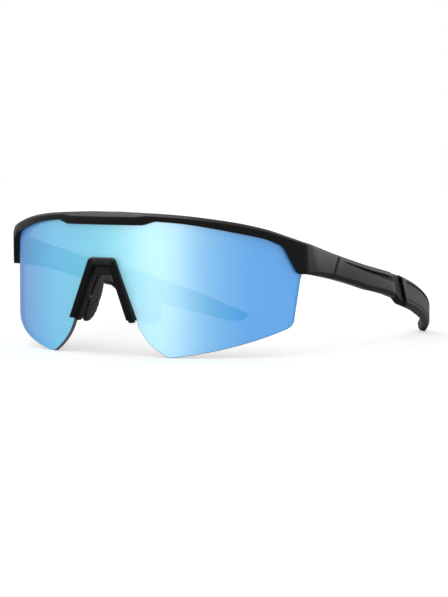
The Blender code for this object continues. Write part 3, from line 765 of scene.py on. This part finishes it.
def lens_low_edge():
    """The lens' lower outline from the middle to the side, as (x, z)."""
    notch_top = ARCH_TOP - LENS_NOTCH_INSET
    notch_x = nose_edge_x(notch_top) - LENS_NOTCH_INSET
    edge = [(0, notch_top)]
    edge += line_points((0, notch_top), (notch_x - 0.8, notch_top), 5)
    corner = ((notch_x - 0.3, notch_top), (notch_x, notch_top - 0.3))
    edge += curve_points(edge[-1], *corner, (notch_x + 0.2, notch_top - 1), 4)
    edge += line_points(edge[-1], (14.5, 13.0), 12)
    edge += curve_points((14.5, 13.0), (16.3, 7.6), (20.5, 3.4), (26.6, 0.0), 16)
    edge += line_points(edge[-1], (28.2, 0.0), 3)
    edge += curve_points((28.2, 0.0), (41.0, 1.6), (54.0, 5.2), (63.0, 10.5), 32)
    edge += curve_points((63.0, 10.5), (64.2, 11.2), (64.9, 12.2), (65.1, 13.8), 6)
    edge += line_points(edge[-1], (66.6, 29.0), 4)
    edge += [(LENS_SIDE_X, 30.4)]
    return edge


def lens_top_edge(x):
    """The hidden top edge, LENS_TOP_COVER under the brow's top, falling away inside the endpiece."""
    start, fall = LENS_TOP_FALL
    return brow_top(x) - LENS_TOP_COVER - blend(0, fall, (x - start) / (LENS_SIDE_X - start))


def outward(edge, distance):
    """The lower outline moved out of the lens by a distance."""
    moved = []
    for i, (x, z) in enumerate(edge):
        before = edge[max(i - 1, 0)]
        after = edge[min(i + 1, len(edge) - 1)]
        dx, dz = after[0] - before[0], after[1] - before[1]
        if x == 0:
            dx, dz = 1, 0
        length = math.hypot(dx, dz)
        moved.append((x + distance * dz / length, z - distance * dx / length))
    return moved


def lens_rings():
    """Columns of the lens: front face, back face and the low edge with its two bevels."""
    edge = lens_low_edge()
    inset = outward(edge, -LENS_EDGE_BEVEL)
    back = -LENS_THICKNESS
    rings = []
    for (x, low), (bevel_x, bevel_low) in zip(edge, inset):
        x_in = 0 if x == 0 else bevel_x
        top = lens_top_edge(min(x, LENS_SIDE_X))
        section = ((x_in, 0, bevel_low), (x_in, 0, top), (x_in, back, top), (x_in, back, bevel_low),
                   (x, back + LENS_EDGE_BEVEL, low), (x, -LENS_EDGE_BEVEL, low))
        rings.append([lens_point(*corner) for corner in section])
    return mirrored(rings)[:-1] + rings


def lens_slab(play):
    """The lens' space with some play all round, for cutting grooves."""
    rings = []
    for x, low in outward(lens_low_edge(), play):
        reach = x + play if x > LENS_HELD_X else x
        top = lens_top_edge(min(max(x, 0), LENS_SIDE_X)) + play
        section = ((play, low), (play, top), (-LENS_THICKNESS - play, top), (-LENS_THICKNESS - play, low))
        rings.append([lens_point(reach, n, z) for n, z in section])
    return mirrored(rings)[:-1] + rings


def build_lens():
    lens = make_mesh("shield_lens", loft(lens_rings()))
    finish_piece(lens, "lens", mirror_material_with_painted_reflection())
    lens.data.materials.append(tint_material("lens_smoke_tint", 0.35, 1.0))
    lens.data.materials.append(tint_material("lens_polished_edge", 0.93, 0.35))
    centre = Vector((0, LENS_CENTRE_Y + SHIFT_Y, 0)) * MM
    for face in lens.data.polygons:
        outward_way = (face.center - centre) * Vector((1, 1, 0))
        facing = face.normal.dot(outward_way.normalized())
        if facing < -FACE_ALIGNMENT:
            face.material_index = 1
        elif facing < FACE_ALIGNMENT:
            face.material_index = 2


# ---------------------------------------------------------------- brow frame

def raw_brow_low(x):
    if x <= BROW_LOW_POINTS[0][0]:
        return blend(PLATEAU_LOW, BROW_LOW_POINTS[0][1], (x - PLATEAU_HALF_WIDTH) / 4.5)
    end_x, end_low = BROW_LOW_POINTS[-1]
    if x <= end_x:
        return smooth_between(BROW_LOW_POINTS, x)
    return max(blend(end_low, ENDPIECE_LOW, (x - end_x) / 3.6), ENDPIECE_LOW)


def softened(curve, x, reach):
    """A curve's value with its corners eased over `reach` mm on both sides."""
    steps = 4
    return sum(curve(x + reach * k / steps) for k in range(-steps, steps + 1)) / (2 * steps + 1)


def raw_brow_facet(x):
    """Height of the crease between the front face and the sloped top facet."""
    return blend(PLATEAU_FACET, brow_top(x) - FACET_DROP, (x - 14.5) / 4.5)


def brow_front(x):
    """How far the brow stands out from the lens: more towards its ends."""
    start, end = BROW_BULGE_X
    return BROW_FRONT + blend(0, BROW_END_BULGE, (x - start) / (end - start))


def brow_ring(x, reach):
    front = brow_front(x)
    low = softened(raw_brow_low, x, 0.7)
    facet = softened(raw_brow_facet, x, 0.5)
    top = brow_top(x)
    section = ((front - 0.4, low), (front, low + 0.4), (front + 0.1, facet), (BROW_TOP_SETBACK, top),
               (BROW_BACK + 1.0, top), (BROW_BACK, top - 0.9), (BROW_BACK, low + 0.5), (BROW_BACK + 0.5, low))
    return [lens_point(x, n, z) for n, z in rounded(section, reach)]


def fold_ring(reach):
    """Where the endpiece's front facet turns to run back along the temple."""
    def y_at(z):
        return FOLD_Y + FOLD_LEAN * (z - 36.0)
    outside = [(69.1, y_at(30.2) - 0.4, 30.1), (69.9, y_at(31.4), 31.4), (69.9, y_at(41.0), 41.0),
               (68.9, 36.9, 41.9)]
    inside = [(66.3, 38.9, 41.9), (65.3, 39.8, 41.0), (65.0, 42.2, 30.9), (65.7, 42.0, 30.1)]
    return rounded(outside + inside, reach)


def hinge_pockets():
    """Room for the hinge, cut in both the endpiece and the arm."""
    reach = BARREL_RADIUS + HINGE_ROOM
    room = HINGE_ROOM
    knuckle = box((POCKET_INNER_X, HINGE_X + reach), (HINGE_Y - reach, HINGE_Y + reach), POCKET_Z)
    across = (POCKET_INNER_X, LEAF_X[1] + room)
    front = box(across, (FRONT_LEAF_Y[0] - room, HINGE_Y), (FRONT_LEAF_Z[0] - room, FRONT_LEAF_Z[1] + room))
    rear = box(across, (HINGE_Y, REAR_LEAF_Y[1] + room), (REAR_LEAF_Z[0] - room, REAR_LEAF_Z[1] + room))
    bores = []
    for y, z in (FRONT_LEAF_SCREW, REAR_LEAF_SCREW):
        depth = LEAF_SCREW_END_X - LEAF_X[1] + room
        bores.append(turned(0, (LEAF_X[1], y, z), ((0, LEAF_SCREW_HOLE), (depth, LEAF_SCREW_HOLE)), 20))
    return (knuckle, front, bores[0]), (knuckle, rear, bores[1])


def build_brow():
    sizes = bpy.context.scene.eyewear_sizes
    reach = sizes.edge_round / MM
    bevel = sizes.seam_bevel / MM
    xs = stations((0, 7, 14.5, PLATEAU_HALF_WIDTH, 19, 21.9, 57, 61.2), 1.2)
    xs += stations((61.6, 65.9, BROW_END_X), 0.45)
    rings = [brow_ring(x, reach) for x in xs]
    last, fold, after = rings[-1], fold_ring(reach), temple_ring(46.0, reach)
    rings += [between(last, fold, t) for t in (0.33, 0.66, 0.95)]
    rings += [between(fold, after, t) for t in (0.05, 0.5)]
    rings += [temple_ring(y, reach) for y in (46.0, 48.5, 51.0, SEAM_Y - bevel)]
    rings += [shrunk(temple_ring(SEAM_Y, reach), bevel)]
    brow = make_mesh("brow_frame_moulding", loft(mirrored(rings)[:-1] + rings), material=plastic_material())
    play = sizes.lens_play / MM
    # The lens groove's walls take the darker recess plastic: painted shade
    carve(brow, [(loft(lens_slab(play)), "DIFFERENCE")], material=recess_painted_shade_material())
    for side, _ in SIDES:
        carve(brow, [(shape, "DIFFERENCE") for shape in hinge_pockets()[0]], side)
    finish_piece(brow, "brow_frame", plastic_material())


# ---------------------------------------------------------------- temples

def temple_t(y):
    return (y - TEMPLE_START_Y) / (TEMPLE_END_Y - TEMPLE_START_Y)


def temple_outer(y):
    return bezier(*TEMPLE_OUTER, temple_t(y))


def swelling(y, height, rise, fall):
    """A height that comes in between the rise's two places and goes out between the fall's."""
    coming = blend(0, 1, (y - rise[0]) / (rise[1] - rise[0]))
    going = blend(1, 0, (y - fall[0]) / (fall[1] - fall[0]))
    return height * coming * going


def temple_top(y):
    return bezier(*TEMPLE_TOP, temple_t(y)) + swelling(y, *GRIP_LIFT)


def temple_low(y):
    """The underside: a little fuller at the end of the arm, and dropping to a lip on the grip."""
    low = bezier(*TEMPLE_LOW, temple_t(y)) + swelling(y, *GRIP_LIFT)
    return max(low + swelling(y, *ARM_FULLER) - swelling(y, *GRIP_LIP), 0.0)


def temple_ring(y, reach, recess=0.0):
    """One cross-section of endpiece or temple, leaning back with its height."""
    middle = (temple_top(y) + temple_low(y)) / 2
    lean = smooth_between(TEMPLE_LEAN, y)

    def corner(across, from_top, height):
        """across: mm in from the outer face (from the inner face if negative)."""
        yy = y
        for _ in range(6):
            z = temple_top(yy) - height if from_top else temple_low(yy) + height
            yy = y + lean * (z - middle)
        thickness = bezier(*TEMPLE_THICKNESS, temple_t(yy))
        x = temple_outer(yy) - recess - across if across >= 0 else temple_outer(yy) - thickness - across
        return (x, yy, z)
    outside = [corner(0.8, False, 0), corner(0, False, 1.5), corner(0, True, 0.9), corner(1.0, True, 0)]
    face = -1e-6
    inside = [corner(-0.9, True, 0), corner(face, True, 0.8), corner(face, False, 0.8),
              corner(-0.7, False, 0)]
    return rounded(outside + inside, reach)


def tongue_ring(y, grow=0.0):
    """The flat core that the arm pushes into the grip."""
    half_x, half_z = TONGUE_HALF[0] + grow, TONGUE_HALF[1] + grow
    middle = (temple_top(y) + temple_low(y)) / 2
    lean = smooth_between(((GRIP_JOINT_Y, -0.38), (104, -0.1), (113, 0)), y)
    edge = 0.4
    corners = ((half_x - edge, -half_z), (half_x, -half_z + edge), (half_x, half_z - edge),
               (half_x - edge, half_z), (edge - half_x, half_z), (-half_x, half_z - edge),
               (-half_x, edge - half_z), (edge - half_x, -half_z))
    ring = []
    for across, up in corners:
        yy = y + lean * up
        ring.append((temple_outer(yy) - TONGUE_INSET + across, yy, middle + up))
    return rounded(ring, 0.2)


def outer_channel(ys, from_top, from_low, depth):
    """A long cutter along a temple's outer face, between two heights that follow y."""
    rings = []
    for y in ys:
        high, low = from_top(y), from_low(y)
        inner, outer = temple_outer(y) - depth(y), temple_outer(y) + 1.0
        rings.append([(inner, y, low + 0.1), (inner + 0.15, y, low), (outer, y, low), (outer, y, high),
                      (inner, y, high)])
    return loft(rings)


def build_arm(side, label):
    sizes = bpy.context.scene.eyewear_sizes
    reach = sizes.edge_round / MM
    bevel = sizes.seam_bevel / MM
    start = SEAM_Y + SEAM_GAP
    rings = [shrunk(temple_ring(start, reach), bevel)]
    rings += [temple_ring(y, reach) for y in stations((start + bevel, GRIP_JOINT_Y - bevel), 1.6)]
    rings += [shrunk(temple_ring(GRIP_JOINT_Y, reach), bevel)]
    rings += [tongue_ring(y) for y in stations((GRIP_JOINT_Y, 104, 113, TONGUE_END_Y), 3.0)]
    arm = make_mesh(f"temple_arm_shell_{label}", loft(rings), side, plastic_material())
    depth = sizes.slot_depth / MM
    slot = outer_channel(stations((SLOT_START_Y, GRIP_JOINT_Y + 1.0), 1.6),
                         lambda y: temple_top(y) - 1.7,
                         lambda y: temple_top(y) - 1.7 - blend(0.3, 2.1, (y - SLOT_START_Y) / 36),
                         lambda y: depth * blend(0.15, 1.0, (y - SLOT_START_Y) / 4))
    # The slot's walls take the darker recess plastic: painted shade
    carve(arm, [(slot, "DIFFERENCE")], side, recess_painted_shade_material())
    carve(arm, [(shape, "DIFFERENCE") for shape in hinge_pockets()[1]], side)
    finish_piece(arm, f"temple_arm_{label}", plastic_material())


def build_grip(side, label):
    """A rubber sleeve: pocket end, out to the mouth, over the lip and back along the outside to the tip."""
    sizes = bpy.context.scene.eyewear_sizes
    reach = sizes.edge_round / MM
    mouth = GRIP_JOINT_Y + GRIP_GAP
    pocket = stations((TONGUE_END_Y + TONGUE_PLAY, 113, 104, mouth), 3.0)
    rings = [tongue_ring(y, TONGUE_PLAY) for y in pocket]
    rings += [shrunk(temple_ring(mouth, reach, COLLAR_DEPTH), 0.2)]
    rings += [temple_ring(y, reach, COLLAR_DEPTH) for y in stations((mouth + 0.2, GRIP_PANEL_Y), 1.2)]
    rings += [temple_ring(GRIP_PANEL_Y + 0.15, reach, 0.25), temple_ring(GRIP_PANEL_Y + 0.45, reach)]
    rings += [temple_ring(y, reach) for y in stations((GRIP_PANEL_Y + 1.5, 145, TIP_Y - 1.2), 1.6)]
    rings += [shrunk(temple_ring(TIP_Y - 0.5, reach), 0.3), shrunk(temple_ring(TIP_Y - 0.1, reach), 0.7)]
    rings += [shrunk(temple_ring(TIP_Y, reach), 1.2)]
    grip = make_mesh(f"temple_grip_sleeve_{label}", loft(rings), side, rubber_material())
    depth = sizes.border_depth / MM
    ys = stations((GRIP_PANEL_Y + 1.6, 158.0), 1.6)

    def fading(y):
        """Full depth along the panel, running out at both ends."""
        return depth * blend(0.1, 1, (y - ys[0]) / 2) * blend(1, 0.1, (y - 150) / 8)
    border = outer_channel(ys, lambda y: temple_top(y) - 1.25, lambda y: temple_top(y) - 2.1, fading)
    hairline = outer_channel(ys, lambda y: temple_low(y) + 2.75, lambda y: temple_low(y) + 2.4,
                             lambda y: 0.6 * fading(y))
    # The border's and hairline's walls take the darker recess plastic: painted shade
    carve(grip, [(border, "DIFFERENCE"), (hairline, "DIFFERENCE")], side, recess_painted_shade_material())
    # Faces in front of the panel, the set-in collar, take the darker recess plastic: painted shade
    for face in grip.data.polygons:
        y, z = face.center.y / MM - SHIFT_Y, face.center.z / MM
        middle = (temple_top(y) + temple_low(y)) / 2
        if y + GRIP_PANEL_LEAN * (z - middle) < GRIP_PANEL_Y + 0.2:
            face.material_index = 1
    finish_piece(grip, f"temple_grip_{label}", rubber_material())


# ---------------------------------------------------------------- hinges

def build_leaf(piece, node, side, barrels, plate_y, plate_z, screw_at):
    """A plate with its barrels rolled round the hinge axis."""
    leaf = make_mesh(piece, box(LEAF_X, plate_y, plate_z), side)
    near, far = sorted(plate_y, key=lambda y: abs(y - HINGE_Y))
    inward = near + math.copysign(0.5, far - near)
    tools = []
    for low, high in barrels:
        tools.append((box(LEAF_X, sorted((inward, HINGE_Y)), (low, high)), "UNION"))
        end = BARREL_RADIUS - BARREL_BEVEL
        ends = ((0, end), (BARREL_BEVEL, BARREL_RADIUS), (high - low - BARREL_BEVEL, BARREL_RADIUS),
                (high - low, end))
        tools.append((turned(2, (HINGE_X, HINGE_Y, low), ends), "UNION"))
    tools.append((turned(2, (HINGE_X, HINGE_Y, 29), ((0, BARREL_BORE), (9, BARREL_BORE))), "DIFFERENCE"))
    hole = ((0, LEAF_SCREW_HOLE + 0.9), (1.15, LEAF_SCREW_HOLE), (3, LEAF_SCREW_HOLE))
    tools.append((turned(0, (LEAF_X[0] - 1, *screw_at), hole, 24), "DIFFERENCE"))
    carve(leaf, tools, side)
    finish_piece(leaf, node, steel_material())


def build_hinge_screw(side, label):
    low, high = HINGE_SCREW_LEVELS
    length = high - low
    profile = ((0, 0.55), (0.15, 0.7), (length, 0.7), (length, 1.1), (length + 0.1, 1.2), (length + 0.6, 1.2),
               (length + 0.8, 1.0))
    screw = make_mesh(f"hinge_pin_screw_{label}", turned(2, (HINGE_X, HINGE_Y, low), profile, 40), side)
    slot = box((HINGE_X - 2, HINGE_X + 2), (HINGE_Y - SCREW_SLOT_HALF, HINGE_Y + SCREW_SLOT_HALF),
               (high + 0.45, high + 2))
    carve(screw, [(slot, "DIFFERENCE")], side)
    finish_piece(screw, f"hinge_screw_{label}", steel_material())


def build_leaf_screw(piece, node, side, at):
    """A small screw with a domed, slotted head and threads along its shank."""
    profile = [(0, 0.55), (0.1, 0.85), (0.28, 1.03), (0.5, 1.1), (0.7, 1.1), (0.7, 0.5)]
    pitch = 0.4
    for turn in range(8):
        start = 1.0 + pitch * turn
        profile += [(start, 0.42), (start + pitch / 2, 0.5)]
    profile += [(LEAF_SCREW_END_X - LEAF_HEAD_X, 0.3)]
    screw = make_mesh(piece, turned(0, (LEAF_HEAD_X, *at), profile, 28), side)
    slot = box((LEAF_HEAD_X - 1, LEAF_HEAD_X + 0.32), (at[0] - SCREW_SLOT_HALF, at[0] + SCREW_SLOT_HALF),
               (at[1] - 2, at[1] + 2))
    carve(screw, [(slot, "DIFFERENCE")], side)
    finish_piece(screw, node, steel_material())


# ---------------------------------------------------------------- nose piece

def arch_path(inset, foot_z, top_z, corner):
    """Half of an arch with slanted legs, as (x, z, turn): turn is 0 on the leg and 1 along the top."""
    def leg_x(z):
        return nose_edge_x(z) - inset
    lean = math.atan(-LEG_SLOPE)
    reach = corner * math.tan((math.pi / 2 - lean) / 2)
    centre = (leg_x(top_z) - reach, top_z - corner)
    leg_end = centre[1] + corner * math.sin(lean)
    path = []
    for i in range(14):
        z = foot_z + (leg_end - foot_z) * i / 14
        path.append((leg_x(z), z, 0.0))
    for i in range(10):
        share = i / 9
        angle = blend(lean, math.pi / 2, share)
        path.append((centre[0] + corner * math.cos(angle), centre[1] + corner * math.sin(angle), share))
    for i in (1, 2, 3):
        path.append((centre[0] * (1 - i / 3), top_z, 1.0))
    return path


def arch_rings(outer, inner, section, reach, foot_round):
    """Rings along the whole arch: section gives (share from inner to outer, y) pairs at a station."""
    rings = []
    for (xo, zo, turn), (xi, zi, _) in zip(outer, inner):
        corners = [(xi + (xo - xi) * w, y, zi + (zo - zi) * w) for w, y in section(turn, xo)]
        rings.append(rounded(corners, reach))
    foot = rings[0]
    along = (Vector(rings[1][0]) - Vector(foot[0])).normalized()
    rings[0] = [tuple(Vector(p) + along * foot_round) for p in foot]
    for share, rise in ((0.25, 0.35), (0.55, 0.1), (0.95, 0.0)):
        lifted = [tuple(Vector(p) + along * foot_round * rise) for p in foot]
        rings.insert(0, shrunk(lifted, foot_round * share))
    return rings + mirrored(rings)[1:]


def build_bracket():
    reach = bpy.context.scene.eyewear_sizes.edge_round / MM * 0.7
    outer = arch_path(0, LEG_FOOT_Z, ARCH_TOP, 2.0)
    inner = arch_path(LEG_WIDTH, LEG_FOOT_Z - 0.2, ARCH_LOW, 2.2)

    def section(turn, x):
        rear = lens_point(x, -LENS_THICKNESS, 0)[1] + 1.4
        front = BRACKET_FRONT_Y
        tilt = ARCH_TILT * smooth_between(((0.2, 0.0), (1.0, 1.0)), turn)
        bar = front + BRACKET_BAR
        return ((0.19, front), (0.88, front + tilt), (1.0, front + tilt + 0.3), (0.84, rear),
                (BRACKET_WALL, rear), (BRACKET_WALL, bar), (0.0, bar), (0.0, front + 0.55))
    bracket = make_mesh("nose_bracket_arch", loft(arch_rings(outer, inner, section, reach, 0.4)))
    play = bpy.context.scene.eyewear_sizes.lens_play / MM
    carve(bracket, [(loft(lens_slab(play)), "DIFFERENCE")])
    finish_piece(bracket, "nose_bracket", clip_material())


def wire_x():
    """The wire leaves the saddle in the middle of its leg's width."""
    return nose_edge_x(PAD_WIRE_Z) - LEG_WIDTH * (1 - SADDLE_WIDTH / 2)


def build_saddle():
    outer = arch_path(LEG_WIDTH * (1 - SADDLE_WIDTH), SADDLE_FOOT_Z, ARCH_LOW + 1.0, 2.0)
    inner = arch_path(LEG_WIDTH + 0.05, SADDLE_FOOT_Z, SADDLE_ARCH_LOW, 1.6)
    front, back = SADDLE_Y

    def section(turn, x):
        return ((0.0, front + 0.4), (0.2, front), (0.9, front), (1.0, front + 0.2),
                (1.0, back - 0.2), (0.9, back), (0.25, back), (0.0, back - 0.5))
    saddle = make_mesh("nose_saddle_rubber", loft(arch_rings(outer, inner, section, 0.25, 0.7)))
    length = PAD_BOSS_END_Y - back + 1
    collar = ((0, PAD_BOSS_RADIUS), (length - 0.25, PAD_BOSS_RADIUS), (length, PAD_BOSS_RADIUS - 0.2))
    room = PAD_WIRE_RADIUS + WIRE_PLAY
    for side, _ in SIDES:
        boss = turned(1, (wire_x(), back - 1.0, PAD_WIRE_Z), collar, 28)
        mouth = turned(1, (wire_x(), PAD_WIRE_START_Y - 0.3, PAD_WIRE_Z), ((0, room), (3, room)), 24)
        carve(saddle, [(boss, "UNION"), (mouth, "DIFFERENCE")], side)
    finish_piece(saddle, "nose_saddle", nose_rubber_material())


def pad_x(y, z):
    return PAD_BASE + PAD_SLOPE_Y * y + PAD_SLOPE_Z * z


def pad_outline():
    """A smooth closed line through the pad's outline points, scalloped where its ridges reach the rear."""
    count = len(PAD_OUTLINE)
    steps = 8
    outline = []
    for i in range(count):
        p0, p1, p2, p3 = [PAD_OUTLINE[(i + k) % count] for k in (-1, 0, 1, 2)]
        for step in range(steps):
            t = step / steps
            place = []
            for k in (0, 1):
                leaving = p1[k] + (p2[k] - p0[k]) / 6
                arriving = p2[k] - (p3[k] - p1[k]) / 6
                place.append(bezier(p1[k], leaving, arriving, p2[k], t))
            along = i + t - SCALLOP_START
            if 0 < along < SCALLOP_RUN:
                place[0] -= SCALLOP_DEPTH * abs(math.sin(math.pi * along / SCALLOP_PITCH))
            outline.append(tuple(place))
    return outline


def pad_wire_path():
    """From the saddle's boss back into the middle of the pad."""
    def in_pad(y):
        return (pad_x(y, PAD_WIRE_Z) + PAD_THICKNESS / 2, y, PAD_WIRE_Z)
    start = Vector((wire_x(), PAD_WIRE_START_Y, PAD_WIRE_Z))
    knee, end = Vector(in_pad(8.0)), Vector(in_pad(PAD_WIRE_END_Y))
    bend = Vector((wire_x() + 0.1, 6.3, PAD_WIRE_Z))
    path = [tuple(start)]
    path += [tuple(bezier(start, bend, knee, end, i / 24)) for i in range(1, 25)]
    return path


def build_pad(side, label):
    """A leaf-shaped rubber slab with soft edges, a moulding hole and grip ridges."""
    outline = pad_outline()
    centre_y = sum(y for y, z in outline) / len(outline)
    centre_z = sum(z for y, z in outline) / len(outline)
    rings = []
    for depth, share in PAD_LAYERS:
        ring = []
        for y, z in outline:
            yy = centre_y + (y - centre_y) * share
            zz = centre_z + (z - centre_z) * share
            ring.append((pad_x(yy, zz) + depth, yy, zz))
        rings.append(ring)
    pad = make_mesh(f"nose_pad_blade_{label}", loft(rings), side)
    path = pad_wire_path()
    stretched = path[6:-1] + [(path[-1][0] + 0.03, path[-1][1] + 0.2, path[-1][2])]
    tools = [(tube(stretched, PAD_WIRE_RADIUS + WIRE_PLAY, 16), "DIFFERENCE")]
    y, z = PAD_HOLE
    tools.append((turned(0, (pad_x(y, z) - 1, y, z), ((0, 0.65), (1.9, 0.55)), 24), "DIFFERENCE"))
    for z in PAD_RIDGES_Z:
        groove = []
        for y in (14.6, 16.0, 18.6):
            skin = pad_x(y, z) + 0.32 * blend(0.1, 1, (y - 14.6) / 1.4)
            out = skin - 1.2
            groove.append([(skin, y, z - 0.1), (out, y, z - 0.32), (out, y, z + 0.32), (skin, y, z + 0.1)])
        tools.append((loft(groove), "DIFFERENCE"))
    carve(pad, tools, side)
    finish_piece(pad, f"nose_pad_{label}", nose_rubber_material())


def build_pad_wire(side, label):
    wire = make_mesh(f"nose_pad_stem_{label}", tube(pad_wire_path(), PAD_WIRE_RADIUS), side)
    # The pad wires are the hinge steel at a fifth of its brightness
    finish_piece(wire, f"nose_pad_wire_{label}", steel_material("dark_steel_pad_wire", 0.2))


# ---------------------------------------------------------------- stage

def direction(azimuth, elevation):
    """A unit step away from the object: azimuth 0 is straight in front, 90 degrees is the wearer's left."""
    flat = math.cos(elevation)
    return Vector((math.sin(azimuth) * flat, -math.cos(azimuth) * flat, math.sin(elevation)))


def aim(obj, target):
    obj.rotation_euler = (obj.location - Vector(target)).to_track_quat("Z", "Y").to_euler()


def softbox(name, azimuth, elevation, distance, size, power):
    """A soft rectangular light that looks at the object and shows in its gloss only."""
    lamp = bpy.data.lights.new(name, "AREA")
    lamp.shape = "RECTANGLE"
    lamp.size, lamp.size_y = size
    lamp.energy = power
    obj = bpy.data.objects.new(name, lamp)
    way = direction(math.radians(azimuth), math.radians(elevation))
    obj.location = Vector(LIGHT_TARGET) + way * distance
    aim(obj, LIGHT_TARGET)
    obj.visible_camera = False
    obj.visible_diffuse = False
    bpy.context.scene.collection.objects.link(obj)
    return obj


def build_world(brightness):
    """Even white surroundings, plain white where the camera sees them."""
    world = bpy.data.worlds.new("white_surroundings")
    bpy.context.scene.world = world
    world.use_nodes = True
    tree = world.node_tree
    seen = add_node(tree, "ShaderNodeLightPath").outputs["Is Camera Ray"]
    strength = add_node(tree, "ShaderNodeMapRange", {"Value": seen, "To Min": brightness, "To Max": 1.0})
    background = tree.nodes["Background"]
    background.inputs["Color"].default_value = (1, 1, 1, 1)
    tree.links.new(strength.outputs[0], background.inputs["Strength"])


# ---------------------------------------------------------------- operators

class EYEWEAR_OT_lens(Operator):
    """Build the mirrored shield lens"""
    bl_idname = "eyewear.lens"
    bl_label = "Shield Lens"

    def execute(self, context):
        build_lens()
        return {"FINISHED"}


class EYEWEAR_OT_brow(Operator):
    """Build the brow frame with its lens groove and hinge pockets"""
    bl_idname = "eyewear.brow"
    bl_label = "Brow Frame"

    def execute(self, context):
        build_brow()
        return {"FINISHED"}


class EYEWEAR_OT_arms(Operator):
    """Build both temple arms"""
    bl_idname = "eyewear.arms"
    bl_label = "Temple Arms"

    def execute(self, context):
        for side, label in SIDES:
            build_arm(side, label)
        return {"FINISHED"}


class EYEWEAR_OT_grips(Operator):
    """Build both rubber temple grips"""
    bl_idname = "eyewear.grips"
    bl_label = "Temple Grips"

    def execute(self, context):
        for side, label in SIDES:
            build_grip(side, label)
        return {"FINISHED"}


class EYEWEAR_OT_hinges(Operator):
    """Build the hinge plates and all the screws"""
    bl_idname = "eyewear.hinges"
    bl_label = "Hinges and Screws"

    def execute(self, context):
        for side, label in SIDES:
            build_leaf(f"hinge_plate_front_{label}", f"hinge_front_leaf_{label}", side,
                       (BARREL_LEVELS[0], BARREL_LEVELS[2]), FRONT_LEAF_Y, FRONT_LEAF_Z, FRONT_LEAF_SCREW)
            build_leaf(f"hinge_plate_rear_{label}", f"hinge_temple_leaf_{label}", side,
                       (BARREL_LEVELS[1],), REAR_LEAF_Y, REAR_LEAF_Z, REAR_LEAF_SCREW)
            build_hinge_screw(side, label)
            build_leaf_screw(f"plate_screw_front_{label}", f"front_leaf_screw_{label}", side,
                             FRONT_LEAF_SCREW)
            build_leaf_screw(f"plate_screw_rear_{label}", f"temple_leaf_screw_{label}", side,
                             REAR_LEAF_SCREW)
        return {"FINISHED"}


class EYEWEAR_OT_nose_piece(Operator):
    """Build the nose bracket and the rubber saddle behind it"""
    bl_idname = "eyewear.nose_piece"
    bl_label = "Nose Bracket and Saddle"

    def execute(self, context):
        build_bracket()
        build_saddle()
        return {"FINISHED"}


class EYEWEAR_OT_nose_pads(Operator):
    """Build both nose pads and the wires that carry them"""
    bl_idname = "eyewear.nose_pads"
    bl_label = "Nose Pads"

    def execute(self, context):
        for side, label in SIDES:
            build_pad(side, label)
            build_pad_wire(side, label)
        return {"FINISHED"}


class EYEWEAR_OT_stage(Operator):
    """Set up the floor, the soft lights and the camera"""
    bl_idname = "eyewear.stage"
    bl_label = "Stage"

    def execute(self, context):
        scene = context.scene
        settings = scene.eyewear_stage
        scene.view_settings.view_transform = "Standard"
        build_world(settings.sky)
        half = settings.floor_size / 2 / MM
        corners = [(-half, -half, 0), (half, -half, 0), (half, half, 0), (-half, half, 0)]
        floor = make_mesh("pale_floor", (corners, [(0, 1, 2, 3)]))
        floor.location.z = CAD_BOX[0].z - FLOOR_DROP * MM
        floor.data.materials.append(floor_material())
        softbox("key_softbox", *KEY_SOFTBOX, settings.key_power)
        softbox("side_softbox", *SIDE_SOFTBOX, settings.side_power)
        lens_light = softbox("lens_softbox", *LENS_SOFTBOX, settings.lens_power)
        only_lens = bpy.data.collections.new("lit_by_lens_softbox")
        only_lens.objects.link(bpy.data.objects["shield_lens"])
        lens_light.light_linking.receiver_collection = only_lens
        lens_light.light_linking.blocker_collection = only_lens
        camera = bpy.data.objects.new("camera", bpy.data.cameras.new("camera"))
        camera.data.lens = settings.focal_length
        target = Vector(CAMERA_TARGET)
        way = direction(settings.camera_azimuth, settings.camera_height)
        camera.location = target + way * settings.camera_distance
        aim(camera, target)
        scene.collection.objects.link(camera)
        scene.camera = camera
        return {"FINISHED"}


OPERATORS = (EYEWEAR_OT_brow, EYEWEAR_OT_lens, EYEWEAR_OT_nose_piece, EYEWEAR_OT_nose_pads, EYEWEAR_OT_arms,
             EYEWEAR_OT_grips, EYEWEAR_OT_hinges, EYEWEAR_OT_stage)


class VIEW3D_PT_eyewear(Panel):
    """Lists the pieces of the sunglasses and their settings"""
    bl_idname = "VIEW3D_PT_eyewear"
    bl_label = "Shield Sunglasses"
    bl_space_type = "VIEW_3D"
    bl_region_type = "UI"
    bl_category = "Eyewear"

    def draw(self, context):
        for operator in OPERATORS:
            self.layout.operator(operator.bl_idname)
        for name in SETTINGS:
            settings = getattr(context.scene, name)
            for key in settings.__annotations__:
                self.layout.prop(settings, key)


SETTINGS = {"eyewear_sizes": FrameSizes, "eyewear_lens": LensColoursWithPaintedReflection, "eyewear_plastic": PlasticFinish,
            "eyewear_stage": StageSettings}


def register():
    for group in SETTINGS.values():
        bpy.utils.register_class(group)
    for name, group in SETTINGS.items():
        setattr(bpy.types.Scene, name, PointerProperty(type=group))
    for operator in OPERATORS:
        bpy.utils.register_class(operator)
    bpy.utils.register_class(VIEW3D_PT_eyewear)


def unregister():
    bpy.utils.unregister_class(VIEW3D_PT_eyewear)
    for operator in reversed(OPERATORS):
        bpy.utils.unregister_class(operator)
    for name in SETTINGS:
        delattr(bpy.types.Scene, name)
    for group in reversed(SETTINGS.values()):
        bpy.utils.unregister_class(group)


def main():
    register()
    bpy.ops.eyewear.brow()
    bpy.ops.eyewear.lens()
    bpy.ops.eyewear.nose_piece()
    bpy.ops.eyewear.nose_pads()
    bpy.ops.eyewear.arms()
    bpy.ops.eyewear.grips()
    bpy.ops.eyewear.hinges()
    bpy.ops.eyewear.stage()


if __name__ == "__main__":
    main()
